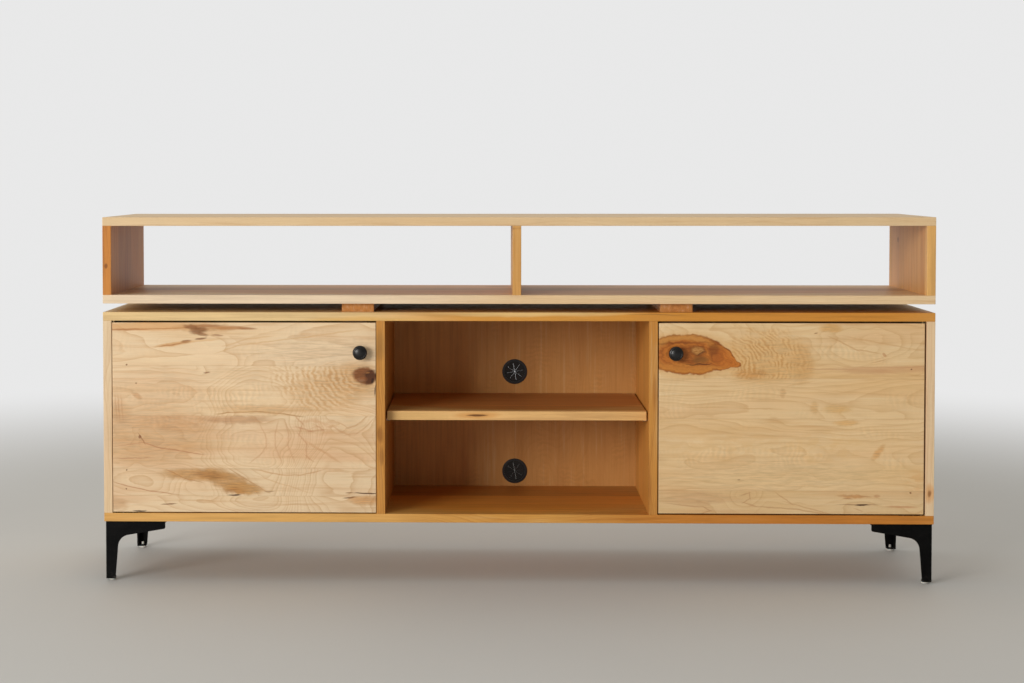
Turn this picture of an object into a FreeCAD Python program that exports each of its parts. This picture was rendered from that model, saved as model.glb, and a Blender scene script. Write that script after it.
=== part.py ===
import FreeCAD, Part
import math
import os

from FreeCAD import Vector as V

# Low maple media console on steel corner legs, with an open riser shelf on top.
# Millimetres, +Z up, +X to the viewer's right, the front faces -Y.
# The working frame has y = 0 at mid depth of the boards; SHIFT_Y then centres the
# overall box (knobs included), so the origin is the centre of the footprint.

# ---------------------------------------------------------------- driving sizes
W = 1829.0            # overall width, 72 in
D = 406.0             # depth of the boards, 16 in
T = 19.0              # board thickness, 3/4 in
Z_FLOOR_BOARD = 132.0  # underside of the cabinet's bottom board
H_BAY = 427.0         # clear height between bottom and top boards
GAP = 19.0            # air gap under the riser, one board thick
H_RISER = 152.5       # clear height inside the riser
BAY_HALF = 290.5      # half the clear width of the middle bay
EASE = 1.0            # eased edges of the boards

BACK_T = 6.0          # back panel thickness
RABBET = 9.0          # how far the back panel laps onto the carcass boards

DOOR_T = 19.0
DOOR_L = (-894.3, -310.8)   # x of the left door
DOOR_R = (311.7, 892.0)     # x of the right door
DOOR_L_Z = (153.5, 574.0)
DOOR_R_Z = (154.2, 574.0)
PIVOT_IN = 4.0        # pivot axis, from the door's outer edge and from its front
DOOR_HINGE_EASE = 1.5

SHELF_HALF = 287.4
SHELF_SET_BACK = 30.0
SHELF_Z = (355.5, 375.5)
SHELF_REAR_GAP = 4.0

RUNNER_X = (316.0, 387.0)
RUNNER_SET_BACK = 20.0

KNOB_R = 16.0
KNOB_OUT = 26.0
KNOB_L = (-344.6, 509.3)
KNOB_R_POS = (347.7, 508.2)

GROMMET_Z = (427.0, 187.0)
GROMMET_HOLE_R = 27.0
GROMMET_R = 30.0

LEG_INSET = 3.0
LEG_T = 4.0           # steel thickness
LEG_ARM = 132.0       # length of the top arms
LEG_FOOT = 20.4
GLIDE_H = 4.0

DOWEL_R = 4.0
DOWEL_LEN = 30.0
FIT = 0.05            # radial clearance of pins, dowels and screws in their holes

SHIFT_Y = KNOB_OUT / 2.0

# ---------------------------------------------------------------- derived levels
HW = W / 2.0
F = -D / 2.0
B = D / 2.0
Z0 = Z_FLOOR_BOARD
Z1 = Z0 + T
Z2 = Z1 + H_BAY
Z3 = Z2 + T
Z4 = Z3 + GAP
Z5 = Z4 + T
Z6 = Z5 + H_RISER
Z7 = Z6 + T
SIDE_IN = HW - T
DIV_OUT = BAY_HALF + T
PANEL_FRONT = B - BACK_T

os.makedirs("parts", exist_ok=True)

X, Y, Z = V(1, 0, 0), V(0, 1, 0), V(0, 0, 1)
NX, NY, NZ = V(-1, 0, 0), V(0, -1, 0), V(0, 0, -1)


# ---------------------------------------------------------------- helpers
def box(x0, x1, y0, y1, z0, z1):
    return Part.makeBox(x1 - x0, y1 - y0, z1 - z0, V(x0, y0, z0))


def cyl(r, p, d, length):
    return Part.makeCylinder(r, length, p, d)


def cone(r0, r1, p, d, length):
    return Part.makeCone(r0, r1, length, p, d)


def at(p, d, s):
    return V(p.x + d.x * s, p.y + d.y * s, p.z + d.z * s)


def round_edges(shape, r, test):
    edges = [e for e in shape.Edges if test(e.BoundBox)]
    return shape.makeFillet(r, edges)


def on_plane(bb, axis, value):
    lo = getattr(bb, axis + "Min")
    hi = getattr(bb, axis + "Max")
    return abs(lo - value) < 1e-4 and abs(hi - value) < 1e-4


def fuse(parts):
    first = parts[0]
    return first.fuse(parts[1:]).removeSplitter() if len(parts) > 1 else first


def save(name, shapes):
    items = shapes if isinstance(shapes, list) else [shapes]
    solids = []
    for item in items:
        solids.extend(item.Solids)
    for s in solids:
        if not s.isValid() or s.Volume <= 0:
            raise RuntimeError("bad solid in " + name)
    out = solids[0] if len(solids) == 1 else Part.makeCompound(solids)
    out = out.copy()
    out.translate(V(0, SHIFT_Y, 0))
    out.exportStep("parts/" + name + ".step")
    print("%-28s %3d solid(s) %12.1f mm3" % (name, len(solids), sum(s.Volume for s in solids)))


def csk_screw(p, d, length, r, rh, drive=1.3):
    """Countersunk wood screw, head plane at p, pointing along d."""
    h = rh - r
    tip = 2.2 * r
    body = fuse([
        cone(rh, r, p, d, h),
        cyl(r, at(p, d, h), d, length - h - tip),
        cone(r, 0.25, at(p, d, length - tip), d, tip),
    ])
    # square drive recess
    q = Part.makeBox(drive, drive, 0.8 * h + 0.6)
    q.translate(V(-drive / 2, -drive / 2, 0))
    q.Placement = FreeCAD.Placement(V(0, 0, 0), FreeCAD.Rotation(Z, d)).multiply(q.Placement)
    q.translate(at(p, d, -0.3))
    return body.cut(q)


def csk_hole(p, d, length, r, rh, c=FIT):
    h = rh - r
    return fuse([
        cone(rh + c, r + c, p, d, h),
        cyl(r + c, at(p, d, h), d, length - h + 0.4),
    ])


def pan_screw(p, d, length, r, rh, hh, drive=1.3):
    """Pan head screw, underside of the head at p, shank along d."""
    head = cyl(rh, at(p, d, -hh), d, hh)
    far = at(p, d, -hh)
    ring = [e for e in head.Edges if abs((e.BoundBox.Center - far).dot(d)) < 1e-3 and e.Length > 2]
    head = head.makeFillet(hh * 0.45, ring)
    tip = 2.2 * r
    body = fuse([head, cyl(r, p, d, length - tip), cone(r, 0.25, at(p, d, length - tip), d, tip)])
    q = Part.makeBox(drive, drive, hh * 0.7 + 0.3)
    q.translate(V(-drive / 2, -drive / 2, 0))
    q.Placement = FreeCAD.Placement(V(0, 0, 0), FreeCAD.Rotation(Z, d)).multiply(q.Placement)
    q.translate(at(p, d, -hh - 0.3))
    return body.cut(q)


def shank_hole(p, d, length, r, c=FIT):
    return cyl(r + c, p, d, length + 0.4)


def dowel(p, d):
    """Dowel centred on p along d, with chamfered ends."""
    s = at(p, d, -DOWEL_LEN / 2)
    return fuse([
        cone(DOWEL_R - 0.8, DOWEL_R, s, d, 0.8),
        cyl(DOWEL_R, at(s, d, 0.8), d, DOWEL_LEN - 1.6),
        cone(DOWEL_R, DOWEL_R - 0.8, at(s, d, DOWEL_LEN - 0.8), d, 0.8),
    ])


def dowel_hole(p, d):
    return cyl(DOWEL_R + FIT, at(p, d, -DOWEL_LEN / 2 - 0.3), d, DOWEL_LEN + 0.6)


def board(x0, x1, y0, y1, z0, z1, r=EASE, keep=()):
    """Board with eased edges; edges on the planes in keep stay sharp."""
    s = box(x0, x1, y0, y1, z0, z1)

    def wanted(bb):
        return not any(on_plane(bb, a, v) for a, v in keep)

    return round_edges(s, r, wanted)


# ---------------------------------------------------------------- joinery positions
DOWEL_Y = (-160.0, -55.0, 55.0, 160.0)
CARCASS_X = (-(HW - T / 2), -(BAY_HALF + T / 2), BAY_HALF + T / 2, HW - T / 2)
RISER_X = (-(HW - T / 2), 0.0, HW - T / 2)
# dowels stand 12 mm into the horizontal board and 18 mm into the upright
DZ = DOWEL_LEN / 2 - 12.0


def dowel_spots(xs, z_low, z_high):
    spots = []
    for x in xs:
        for y in DOWEL_Y:
            spots.append(V(x, y, z_low + DZ))
            spots.append(V(x, y, z_high - DZ))
    return spots


carcass_spots = dowel_spots(CARCASS_X, Z1, Z2)
riser_spots = dowel_spots(RISER_X, Z5, Z6)
carcass_holes = [dowel_hole(p, Z) for p in carcass_spots]
riser_holes = [dowel_hole(p, Z) for p in riser_spots]

# screws that hold the riser: up through the cabinet top and the runners
RISER_SCREW = dict(length=50.0, r=2.25, rh=4.6)
riser_screw_spots = [V(s * (RUNNER_X[0] + RUNNER_X[1]) / 2, y, Z2) for s in (-1, 1) for y in (-140.0, 0.0, 140.0)]
riser_screw_holes = [csk_hole(p, Z, **RISER_SCREW) for p in riser_screw_spots]

# screws round the back panel
PANEL_SCREW = dict(length=22.0, r=1.6, rh=3.3)
panel_spots = []
for z in (Z2 + RABBET / 2, Z1 - RABBET / 2):
    for x in (-850.0, -690.0, -530.0, -370.0, -200.0, 200.0, 370.0, 530.0, 690.0, 850.0):
        panel_spots.append(V(x, B, z))
for x in (-(SIDE_IN + RABBET / 2), SIDE_IN + RABBET / 2):
    for z in (235.0, 365.0, 495.0):
        panel_spots.append(V(x, B, z))
for x in (-(BAY_HALF + T / 2), BAY_HALF + T / 2):
    for z in (200.0, 310.0, 420.0, 530.0):
        panel_spots.append(V(x, B, z))
panel_screw_holes = [csk_hole(p, NY, **PANEL_SCREW) for p in panel_spots]

# rabbet that takes the back panel, cut from the rear inner edges of the carcass
rabbet = box(-(SIDE_IN + RABBET), SIDE_IN + RABBET, PANEL_FRONT, B + 5, Z1 - RABBET, Z2 + RABBET)

# ---------------------------------------------------------------- pivot hinges
LEAF_T = 2.4
LEAF_HALF = 3.2
LEAF_LEN = 50.0
PIN_R = 2.0
PIN_IN_BOARD = 4.0
PIN_IN_DOOR = 8.0
LEAF_SCREW = dict(length=15.0, r=1.25, rh=2.4)
pivot_l = V(DOOR_L[0] + PIVOT_IN, F + PIVOT_IN, 0)
pivot_r = V(DOOR_R[1] - PIVOT_IN, F + PIVOT_IN, 0)


def leaf_outline(pv, sx, z0, grow, thick):
    """Flat leaf, round at the pivot and square at the far end; sx points inward."""
    r = LEAF_HALF + grow
    xa, xb = sorted((pv.x, pv.x + sx * (LEAF_LEN + grow)))
    return fuse([cyl(r, V(pv.x, pv.y, z0), Z, thick), box(xa, xb, pv.y - r, pv.y + r, z0, z0 + thick)])


def leaf_screw_spots(pv, sx, z):
    return [V(pv.x + sx * a, pv.y, z) for a in (18.0, 40.0)]


cab_leaves = {"left": [], "right": []}
door_leaves = {"left": [], "right": []}
cab_top_cuts, cab_bottom_cuts = [], []
door_cuts = {"left": [], "right": []}
pins, washers = [], []
cab_leaf_screws = []
door_leaf_screws = {"left": [], "right": []}

for side, pv, sx, dz in (("left", pivot_l, 1, DOOR_L_Z), ("right", pivot_r, -1, DOOR_R_Z)):
    # upper and lower: sign is the way the pin points into the cabinet board
    for sign, zb, zd in ((1, Z2, dz[1]), (-1, Z1, dz[0])):
        up = Z if sign > 0 else NZ
        dn = NZ if sign > 0 else Z
        # cabinet leaf, let in flush
        zl = zb if sign > 0 else zb - LEAF_T
        spots = leaf_screw_spots(pv, sx, zb)
        leaf = leaf_outline(pv, sx, zl, 0.0, LEAF_T)
        leaf = leaf.cut([cyl(PIN_R + 0.02, V(pv.x, pv.y, zl - 1), Z, LEAF_T + 2)] + [csk_hole(p, up, **LEAF_SCREW) for p in spots])
        cab_leaves[side].append(leaf)
        cuts = cab_top_cuts if sign > 0 else cab_bottom_cuts
        cuts.append(leaf_outline(pv, sx, zl if sign > 0 else zl - 0.02, FIT, LEAF_T + 0.02))
        cuts.append(cyl(PIN_R + FIT, V(pv.x, pv.y, zb), up, LEAF_T + PIN_IN_BOARD + 0.3))
        cuts += [csk_hole(p, up, **LEAF_SCREW) for p in spots]
        cab_leaf_screws += [csk_screw(p, up, drive=1.1, **LEAF_SCREW) for p in spots]
        # door leaf, let in flush
        zl = zd - LEAF_T if sign > 0 else zd
        spots = leaf_screw_spots(pv, sx, zd)
        leaf = leaf_outline(pv, sx, zl, 0.0, LEAF_T)
        leaf = leaf.cut([cyl(PIN_R + FIT, V(pv.x, pv.y, zl - 1), Z, LEAF_T + 2)] + [csk_hole(p, dn, **LEAF_SCREW) for p in spots])
        door_leaves[side].append(leaf)
        door_cuts[side].append(leaf_outline(pv, sx, zl - 0.02 if sign > 0 else zl, FIT, LEAF_T + 0.02))
        door_cuts[side].append(cyl(PIN_R + 0.3, V(pv.x, pv.y, zd), dn, LEAF_T + PIN_IN_DOOR + 1.0))
        door_cuts[side] += [csk_hole(p, dn, **LEAF_SCREW) for p in spots]
        door_leaf_screws[side] += [csk_screw(p, dn, drive=1.1, **LEAF_SCREW) for p in spots]
        # pin, fixed in the cabinet leaf, running in the door leaf
        gap = abs(zb - zd)
        p0 = at(V(pv.x, pv.y, zb), up, LEAF_T + PIN_IN_BOARD)
        total = LEAF_T + PIN_IN_BOARD + gap + LEAF_T + PIN_IN_DOOR
        pins.append(fuse([cyl(PIN_R, p0, dn, total - 0.6), cone(PIN_R, PIN_R - 0.6, at(p0, dn, total - 0.6), dn, 0.6)]))
        w = cyl(LEAF_HALF, V(pv.x, pv.y, zb), dn, gap - FIT)
        washers.append(w.cut(cyl(PIN_R + FIT, at(V(pv.x, pv.y, zb), up, 1), dn, gap + 2)))

# ---------------------------------------------------------------- magnetic catches
CATCH_LEN = 46.0
CATCH_Z = 560.0
STRIKE_T = 1.2
CATCH_SCREW = dict(length=15.0, r=1.5, rh=3.0)
STRIKE_SCREW = dict(length=12.0, r=1.25, rh=2.4)
door_back = F + DOOR_T
housings, magnets, catch_screws = {}, [], []
strikes, strike_screws = {}, {}
for side, cx in (("left", -357.0), ("right", 358.0)):
    y0 = door_back + STRIKE_T + 0.6
    body = box(cx - CATCH_LEN / 2, cx + CATCH_LEN / 2, y0, y0 + 14, CATCH_Z, Z2)
    body = round_edges(body, 1.5, lambda bb: on_plane(bb, "Z", CATCH_Z))
    ears = box(cx - 36, cx + 36, y0 + 1, y0 + 13, Z2 - 2.6, Z2)
    ears = round_edges(ears, 4.0, lambda bb: bb.ZLength > 2 and bb.XLength < 0.1 and bb.YLength < 0.1)
    spots = [V(cx + s * 29.5, y0 + 7, Z2 - 2.6) for s in (-1, 1)]
    body = fuse([body, ears]).cut([csk_hole(p, Z, **CATCH_SCREW) for p in spots])
    pocket = box(cx - 19, cx + 19, y0 - 1, y0 + 8, CATCH_Z + 2, CATCH_Z + 13)
    body = body.cut(pocket)
    housings[side] = body
    mag = box(cx - 18.95, cx + 18.95, y0 - 0.4, y0 + 7.95, CATCH_Z + 5, CATCH_Z + 10)
    plate_a = box(cx - 18.95, cx + 18.95, y0 - 0.4, y0 + 7.95, CATCH_Z + 2.05, CATCH_Z + 4.9)
    plate_b = box(cx - 18.95, cx + 18.95, y0 - 0.4, y0 + 7.95, CATCH_Z + 10.1, CATCH_Z + 12.95)
    magnets += [mag, plate_a, plate_b]
    catch_screws += [csk_screw(p, Z, **CATCH_SCREW) for p in spots]
    cab_top_cuts += [csk_hole(p, Z, **CATCH_SCREW) for p in spots]
    st = box(cx - 20, cx + 20, door_back, door_back + STRIKE_T, CATCH_Z + 1, CATCH_Z + 13)
    st = round_edges(st, 2.5, lambda bb: bb.YLength > 1 and bb.XLength < 0.1 and bb.ZLength < 0.1)
    spots = [V(cx + s * 12.0, door_back + STRIKE_T, CATCH_Z + 7) for s in (-1, 1)]
    strikes[side] = st.cut([csk_hole(p, NY, **STRIKE_SCREW) for p in spots])
    strike_screws[side] = [csk_screw(p, NY, drive=1.1, **STRIKE_SCREW) for p in spots]
    door_cuts[side] += [csk_hole(p, NY, **STRIKE_SCREW) for p in spots]

# ---------------------------------------------------------------- legs
LEG_SCREW = dict(length=16.0, r=2.1, rh=4.3, hh=2.6)


def leg_profile():
    """Inward distance u and height z of one web, seen from outside."""
    return [(0.0, GLIDE_H), (LEG_FOOT, GLIDE_H), (28.3, 97.8), (LEG_ARM, 115.5), (LEG_ARM, Z0), (0.0, Z0)]


def leg_web():
    """Web in the XZ plane, u along +X, thickness from y = 0 to LEG_T."""
    pts = [V(u, 0, z) for u, z in leg_profile()]
    face = Part.Face(Part.makePolygon(pts + [pts[0]]))
    s = face.extrude(V(0, LEG_T, 0))

    def corner(u, z):
        return lambda bb: bb.YLength > 1 and abs(bb.XMin - u) < 0.1 and abs(bb.XMax - u) < 0.1 and abs(bb.ZMin - z) < 0.1 and abs(bb.ZMax - z) < 0.1

    s = round_edges(s, 28.0, corner(28.3, 97.8))
    s = round_edges(s, 3.5, corner(LEG_ARM, 115.5))
    return s


def leg_local():
    """Leg with its outer corner at x = y = 0 and arms along +X and +Y."""
    wx = leg_web()
    wy = leg_web()
    # mirror in the plane x = y
    m = FreeCAD.Matrix(0, 1, 0, 0, 1, 0, 0, 0, 0, 0, 1, 0, 0, 0, 0, 1)
    wy = wy.transformGeometry(m)
    flange = fuse([box(0, LEG_ARM, 0, 40, Z0 - LEG_T, Z0), box(0, 40, 0, LEG_ARM, Z0 - LEG_T, Z0)])
    flange = round_edges(flange, 14.0, lambda bb: bb.ZLength > 3 and abs(bb.XMin - 40) < 0.1 and abs(bb.XMax - 40) < 0.1 and abs(bb.YMin - 40) < 0.1 and abs(bb.YMax - 40) < 0.1)
    flange = round_edges(flange, 8.0, lambda bb: bb.ZLength > 3 and ((abs(bb.XMin - LEG_ARM) < 0.1 and abs(bb.YMin - 40) < 0.1) or (abs(bb.YMin - LEG_ARM) < 0.1 and abs(bb.XMin - 40) < 0.1)) and bb.XLength < 0.1 and bb.YLength < 0.1)
    tab = box(LEG_T - 1, LEG_FOOT, LEG_T - 1, LEG_FOOT, GLIDE_H, GLIDE_H + LEG_T)
    tab = round_edges(tab, 8.0, lambda bb: bb.ZLength > 3 and abs(bb.XMin - LEG_FOOT) < 0.1 and abs(bb.YMin - LEG_FOOT) < 0.1 and bb.XLength < 0.1 and bb.YLength < 0.1)
    s = fuse([wx, wy, flange, tab])
    # the folded corner is slightly round outside
    s = round_edges(s, 1.6, lambda bb: bb.ZLength > 60 and abs(bb.XMin) < 0.1 and abs(bb.XMax) < 0.1 and abs(bb.YMin) < 0.1 and abs(bb.YMax) < 0.1)
    holes = [cyl(LEG_SCREW["r"] + 0.25, V(x, y, Z0 - LEG_T - 1), Z, LEG_T + 2) for x, y in LEG_HOLES]
    holes.append(cyl(3.0 + FIT, V(GLIDE_AT, GLIDE_AT, GLIDE_H - 1), Z, LEG_T + 2))
    return s.cut(holes)


LEG_HOLES = ((24.0, 24.0), (70.0, 24.0), (116.0, 24.0), (24.0, 70.0), (24.0, 116.0))
GLIDE_AT = 12.2


def glide_local():
    """Nylon glide: disc on the floor, push-in stem through the foot tab."""
    disc = cyl(8.2, V(GLIDE_AT, GLIDE_AT, 0), Z, GLIDE_H)
    disc = round_edges(disc, 0.9, lambda bb: on_plane(bb, "Z", 0.0) and bb.XLength > 1)
    stem = cyl(3.0, V(GLIDE_AT, GLIDE_AT, GLIDE_H - 0.5), Z, LEG_T + 5.0)
    tip = cone(3.0, 1.8, V(GLIDE_AT, GLIDE_AT, GLIDE_H + LEG_T + 4.5), Z, 1.5)
    return fuse([disc, stem, tip])


def place(shape, sx, sy):
    """Move a shape from the leg frame to the corner given by the signs."""
    s = shape.copy()
    if sx > 0:
        s = s.mirror(V(0, 0, 0), X)
    if sy > 0:
        s = s.mirror(V(0, 0, 0), Y)
    s.translate(V(sx * (HW - LEG_INSET), sy * (B - LEG_INSET), 0))
    return s


leg = leg_local()
glide = glide_local()
CORNERS = (("front_left", -1, -1), ("front_right", 1, -1), ("rear_left", -1, 1), ("rear_right", 1, 1))
legs, glides, leg_screws, leg_pilots = {}, [], [], []
for name, sx, sy in CORNERS:
    legs[name] = place(leg, sx, sy)
    glides.append(place(glide, sx, sy))
    for x, y in LEG_HOLES:
        p = V(sx * (HW - LEG_INSET - x), sy * (B - LEG_INSET - y), Z0 - LEG_T)
        leg_screws.append(pan_screw(p, Z, drive=1.8, **LEG_SCREW))
        leg_pilots.append(shank_hole(p, Z, LEG_SCREW["length"], LEG_SCREW["r"]))

# ---------------------------------------------------------------- shelf pins
PIN_STEM = 2.5
PIN_BARREL = 3.5
pin_z = SHELF_Z[0] - PIN_BARREL - 0.01
shelf_pins, pin_holes = [], []
for s in (-1, 1):
    d = X if s > 0 else NX
    for y in (-130.0, 150.0):
        wall = V(s * BAY_HALF, y, pin_z)
        barrel = cyl(PIN_BARREL, at(wall, d, -8.0), d, 8.0)
        tip_x = s * (BAY_HALF - 8.0)
        barrel = round_edges(barrel, 0.8, lambda bb: on_plane(bb, "X", tip_x) and bb.YLength > 1)
        shelf_pins.append(fuse([barrel, cyl(PIN_STEM, wall, d, 9.0)]))
        pin_holes.append(cyl(PIN_STEM + FIT, wall, d, 9.6))

# ---------------------------------------------------------------- carcass
cabinet_top = board(-HW, HW, F, B, Z2, Z3)
cabinet_top = cabinet_top.cut([rabbet] + carcass_holes + riser_screw_holes + panel_screw_holes + cab_top_cuts)
save("cabinet_top", cabinet_top)

cabinet_bottom = board(-HW, HW, F, B, Z0, Z1)
cabinet_bottom = cabinet_bottom.cut([rabbet] + carcass_holes + panel_screw_holes + cab_bottom_cuts + leg_pilots)
save("cabinet_bottom", cabinet_bottom)

for name, x0, x1 in (("side_left", -HW, -SIDE_IN), ("side_right", SIDE_IN, HW)):
    s = board(x0, x1, F, B, Z1, Z2, keep=(("Z", Z1), ("Z", Z2)))
    save(name, s.cut([rabbet] + carcass_holes + panel_screw_holes))

for name, x0, x1 in (("divider_left", -DIV_OUT, -BAY_HALF), ("divider_right", BAY_HALF, DIV_OUT)):
    s = board(x0, x1, F, PANEL_FRONT, Z1, Z2, keep=(("Z", Z1), ("Z", Z2), ("Y", PANEL_FRONT)))
    save(name, s.cut(carcass_holes + panel_screw_holes + pin_holes))

save("carcass_dowels", [dowel(p, Z) for p in carcass_spots])

panel = box(-(SIDE_IN + RABBET - 0.3), SIDE_IN + RABBET - 0.3, PANEL_FRONT, B, Z1 - RABBET + 0.3, Z2 + RABBET - 0.3)
panel = panel.cut(panel_screw_holes + [cyl(GROMMET_HOLE_R, V(0, PANEL_FRONT - 1, z), Y, BACK_T + 2) for z in GROMMET_Z])
save("back_panel", panel)
save("back_panel_screws", [csk_screw(p, NY, **PANEL_SCREW) for p in panel_spots])

shelf = board(-SHELF_HALF, SHELF_HALF, F + SHELF_SET_BACK, PANEL_FRONT - SHELF_REAR_GAP, SHELF_Z[0], SHELF_Z[1])
save("shelf", shelf)
save("shelf_pins", shelf_pins)

# ---------------------------------------------------------------- cable grommets
INSERT_Y = PANEL_FRONT - 0.6
SLIT = 0.5
for name, zc in (("upper", GROMMET_Z[0]), ("lower", GROMMET_Z[1])):
    c = V(0, PANEL_FRONT - 2.0, zc)
    flange = cyl(GROMMET_R, c, Y, 2.0)
    flange = round_edges(flange, 1.2, lambda bb: on_plane(bb, "Y", PANEL_FRONT - 2.0) and bb.XLength > 1)
    sleeve = cyl(GROMMET_HOLE_R - FIT, V(0, PANEL_FRONT - 0.5, zc), Y, BACK_T + 0.5)
    ring = fuse([flange, sleeve])
    ring = ring.cut([cyl(24.5, V(0, PANEL_FRONT - 3, zc), Y, 5.0), cyl(23.2, V(0, PANEL_FRONT, zc), Y, BACK_T + 2)])
    save("grommet_ring_" + name, ring)
    disc = cyl(24.45, V(0, INSERT_Y, zc), Y, 2.5)
    disc = disc.cut(cyl(3.5, V(0, INSERT_Y - 1, zc), Y, 5))
    slits = []
    for k in range(8):
        slit = box(2.0, 20.5, INSERT_Y - 1, INSERT_Y + 4, -SLIT / 2, SLIT / 2)
        slit.rotate(V(0, 0, 0), Y, 45.0 * k + 10.0)
        slit.translate(V(0, 0, zc))
        slits.append(slit)
    save("grommet_insert_" + name, disc.cut(slits))

# ---------------------------------------------------------------- riser
for name, s in (("runner_left", -1), ("runner_right", 1)):
    x0, x1 = sorted((s * RUNNER_X[0], s * RUNNER_X[1]))
    r = board(x0, x1, F + RUNNER_SET_BACK, B - RUNNER_SET_BACK, Z3, Z4, keep=(("Z", Z3), ("Z", Z4)))
    save(name, r.cut(riser_screw_holes))
save("riser_screws", [csk_screw(p, Z, drive=2.0, **RISER_SCREW) for p in riser_screw_spots])

save("riser_bottom", board(-HW, HW, F, B, Z4, Z5).cut(riser_holes + riser_screw_holes))
save("riser_top", board(-HW, HW, F, B, Z6, Z7).cut(riser_holes))
for name, x0, x1 in (("riser_end_left", -HW, -SIDE_IN), ("riser_end_right", SIDE_IN, HW), ("riser_divider", -T / 2, T / 2)):
    s = board(x0, x1, F, B, Z5, Z6, keep=(("Z", Z5), ("Z", Z6)))
    save(name, s.cut(riser_holes))
save("riser_dowels", [dowel(p, Z) for p in riser_spots])

# ---------------------------------------------------------------- doors and knobs
KNOB_SCREW_R = 2.0


def knob(x, z):
    """Turned mushroom knob on a short neck, its face slightly domed with a fine ring."""
    pts = [(0, 0), (9.0, 0), (9.0, 1.6), (7.4, 3.0), (6.6, 6.5), (7.2, 10.0), (10.0, 13.2), (14.6, 15.2),
           (KNOB_R, 17.4), (KNOB_R, 19.2), (15.3, 21.2), (12.6, 23.2), (11.7, 23.4), (11.2, 23.0), (10.7, 23.8),
           (8.0, 24.9), (4.0, 25.75), (0, KNOB_OUT)]
    edges = []
    vs = [V(r, 0, t) for r, t in pts]

    def line(a, b):
        edges.append(Part.LineSegment(a, b).toShape())

    def curve(seq):
        c = Part.BSplineCurve()
        c.interpolate(seq)
        edges.append(c.toShape())

    line(vs[0], vs[1])
    line(vs[1], vs[2])
    curve(vs[2:9])
    line(vs[8], vs[9])
    curve(vs[9:12])
    curve(vs[11:15])
    curve(vs[14:18])
    line(vs[17], vs[0])
    face = Part.Face(Part.Wire(edges))
    s = face.revolve(V(0, 0, 0), Z, 360)
    s = s.cut(cyl(KNOB_SCREW_R + FIT, V(0, 0, -1), Z, 13.0))
    s.rotate(V(0, 0, 0), X, 90)
    s.translate(V(x, F, z))
    return s


def knob_screw(x, z):
    """Machine screw from inside the door into the knob."""
    p = V(x, door_back, z)
    head = cyl(4.0, p, Y, 2.2)
    head = round_edges(head, 0.9, lambda bb: on_plane(bb, "Y", door_back + 2.2) and bb.XLength > 1)
    s = fuse([head, cyl(KNOB_SCREW_R, p, NY, DOOR_T + 10.0)])
    return s.cut(fuse([box(x - 2.4, x + 2.4, door_back + 1.0, door_back + 3, z - 0.5, z + 0.5), box(x - 0.5, x + 0.5, door_back + 1.0, door_back + 3, z - 2.4, z + 2.4)]))


for side, dx, dz, kn, hinge_x in (("left", DOOR_L, DOOR_L_Z, KNOB_L, DOOR_L[0]), ("right", DOOR_R, DOOR_R_Z, KNOB_R_POS, DOOR_R[1])):
    d = box(dx[0], dx[1], F, door_back, dz[0], dz[1])
    # hinge stile edge rounded a little more, so that it swings clear of the cabinet side
    d = round_edges(d, DOOR_HINGE_EASE, lambda bb: on_plane(bb, "Y", F) and on_plane(bb, "X", hinge_x))
    d = round_edges(d, 0.8, lambda bb: (on_plane(bb, "Y", F) or on_plane(bb, "Y", door_back)) and not on_plane(bb, "X", hinge_x) and max(bb.XLength, bb.ZLength) > 50)
    holes = door_cuts[side] + [cyl(KNOB_SCREW_R + 0.25, V(kn[0], F - 1, kn[1]), Y, DOOR_T + 2)]
    save("door_" + side, d.cut(holes))
    save("knob_" + side, knob(*kn))
    save("knob_screw_" + side, knob_screw(*kn))
    save("strike_plate_" + side, strikes[side])
    save("strike_screws_" + side, strike_screws[side])
    save("hinge_leaves_door_" + side, door_leaves[side])
    save("hinge_screws_door_" + side, door_leaf_screws[side])
    save("hinge_leaves_cabinet_" + side, cab_leaves[side])
    save("catch_housing_" + side, housings[side])

save("hinge_pins", pins)
save("hinge_washers", washers)
save("hinge_screws_cabinet", cab_leaf_screws)
save("catch_magnets", magnets)
save("catch_screws", catch_screws)

# ---------------------------------------------------------------- legs out
for name, s in legs.items():
    save("leg_" + name, s)
save("leg_glides", glides)
save("leg_screws", leg_screws)
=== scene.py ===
import math
import bpy
import bmesh
from mathutils import Matrix, Vector


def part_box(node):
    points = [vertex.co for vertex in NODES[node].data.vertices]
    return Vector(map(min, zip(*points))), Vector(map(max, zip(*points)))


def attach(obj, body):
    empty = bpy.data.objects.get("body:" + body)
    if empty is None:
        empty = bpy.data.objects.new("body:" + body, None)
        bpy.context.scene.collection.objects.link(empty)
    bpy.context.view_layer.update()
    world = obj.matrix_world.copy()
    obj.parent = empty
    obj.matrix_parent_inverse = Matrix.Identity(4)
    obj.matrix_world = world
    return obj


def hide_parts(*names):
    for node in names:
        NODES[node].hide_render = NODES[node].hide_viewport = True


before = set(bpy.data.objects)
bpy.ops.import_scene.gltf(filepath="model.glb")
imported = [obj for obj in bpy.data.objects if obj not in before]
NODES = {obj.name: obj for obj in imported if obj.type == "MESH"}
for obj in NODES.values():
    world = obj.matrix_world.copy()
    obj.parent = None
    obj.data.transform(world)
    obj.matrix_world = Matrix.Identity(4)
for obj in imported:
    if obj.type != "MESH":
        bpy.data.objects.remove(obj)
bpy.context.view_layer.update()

scene = bpy.context.scene


# ---------------------------------------------------------------- helpers

def lin(c):
    c = c / 255.0
    return c / 12.92 if c <= 0.04045 else ((c + 0.055) / 1.055) ** 2.4


def rgb(c, k=1.0):
    """An 8-bit colour as linear values, times k."""
    return (min(lin(c[0]) * k, 1.0), min(lin(c[1]) * k, 1.0), min(lin(c[2]) * k, 1.0), 1.0)


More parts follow.
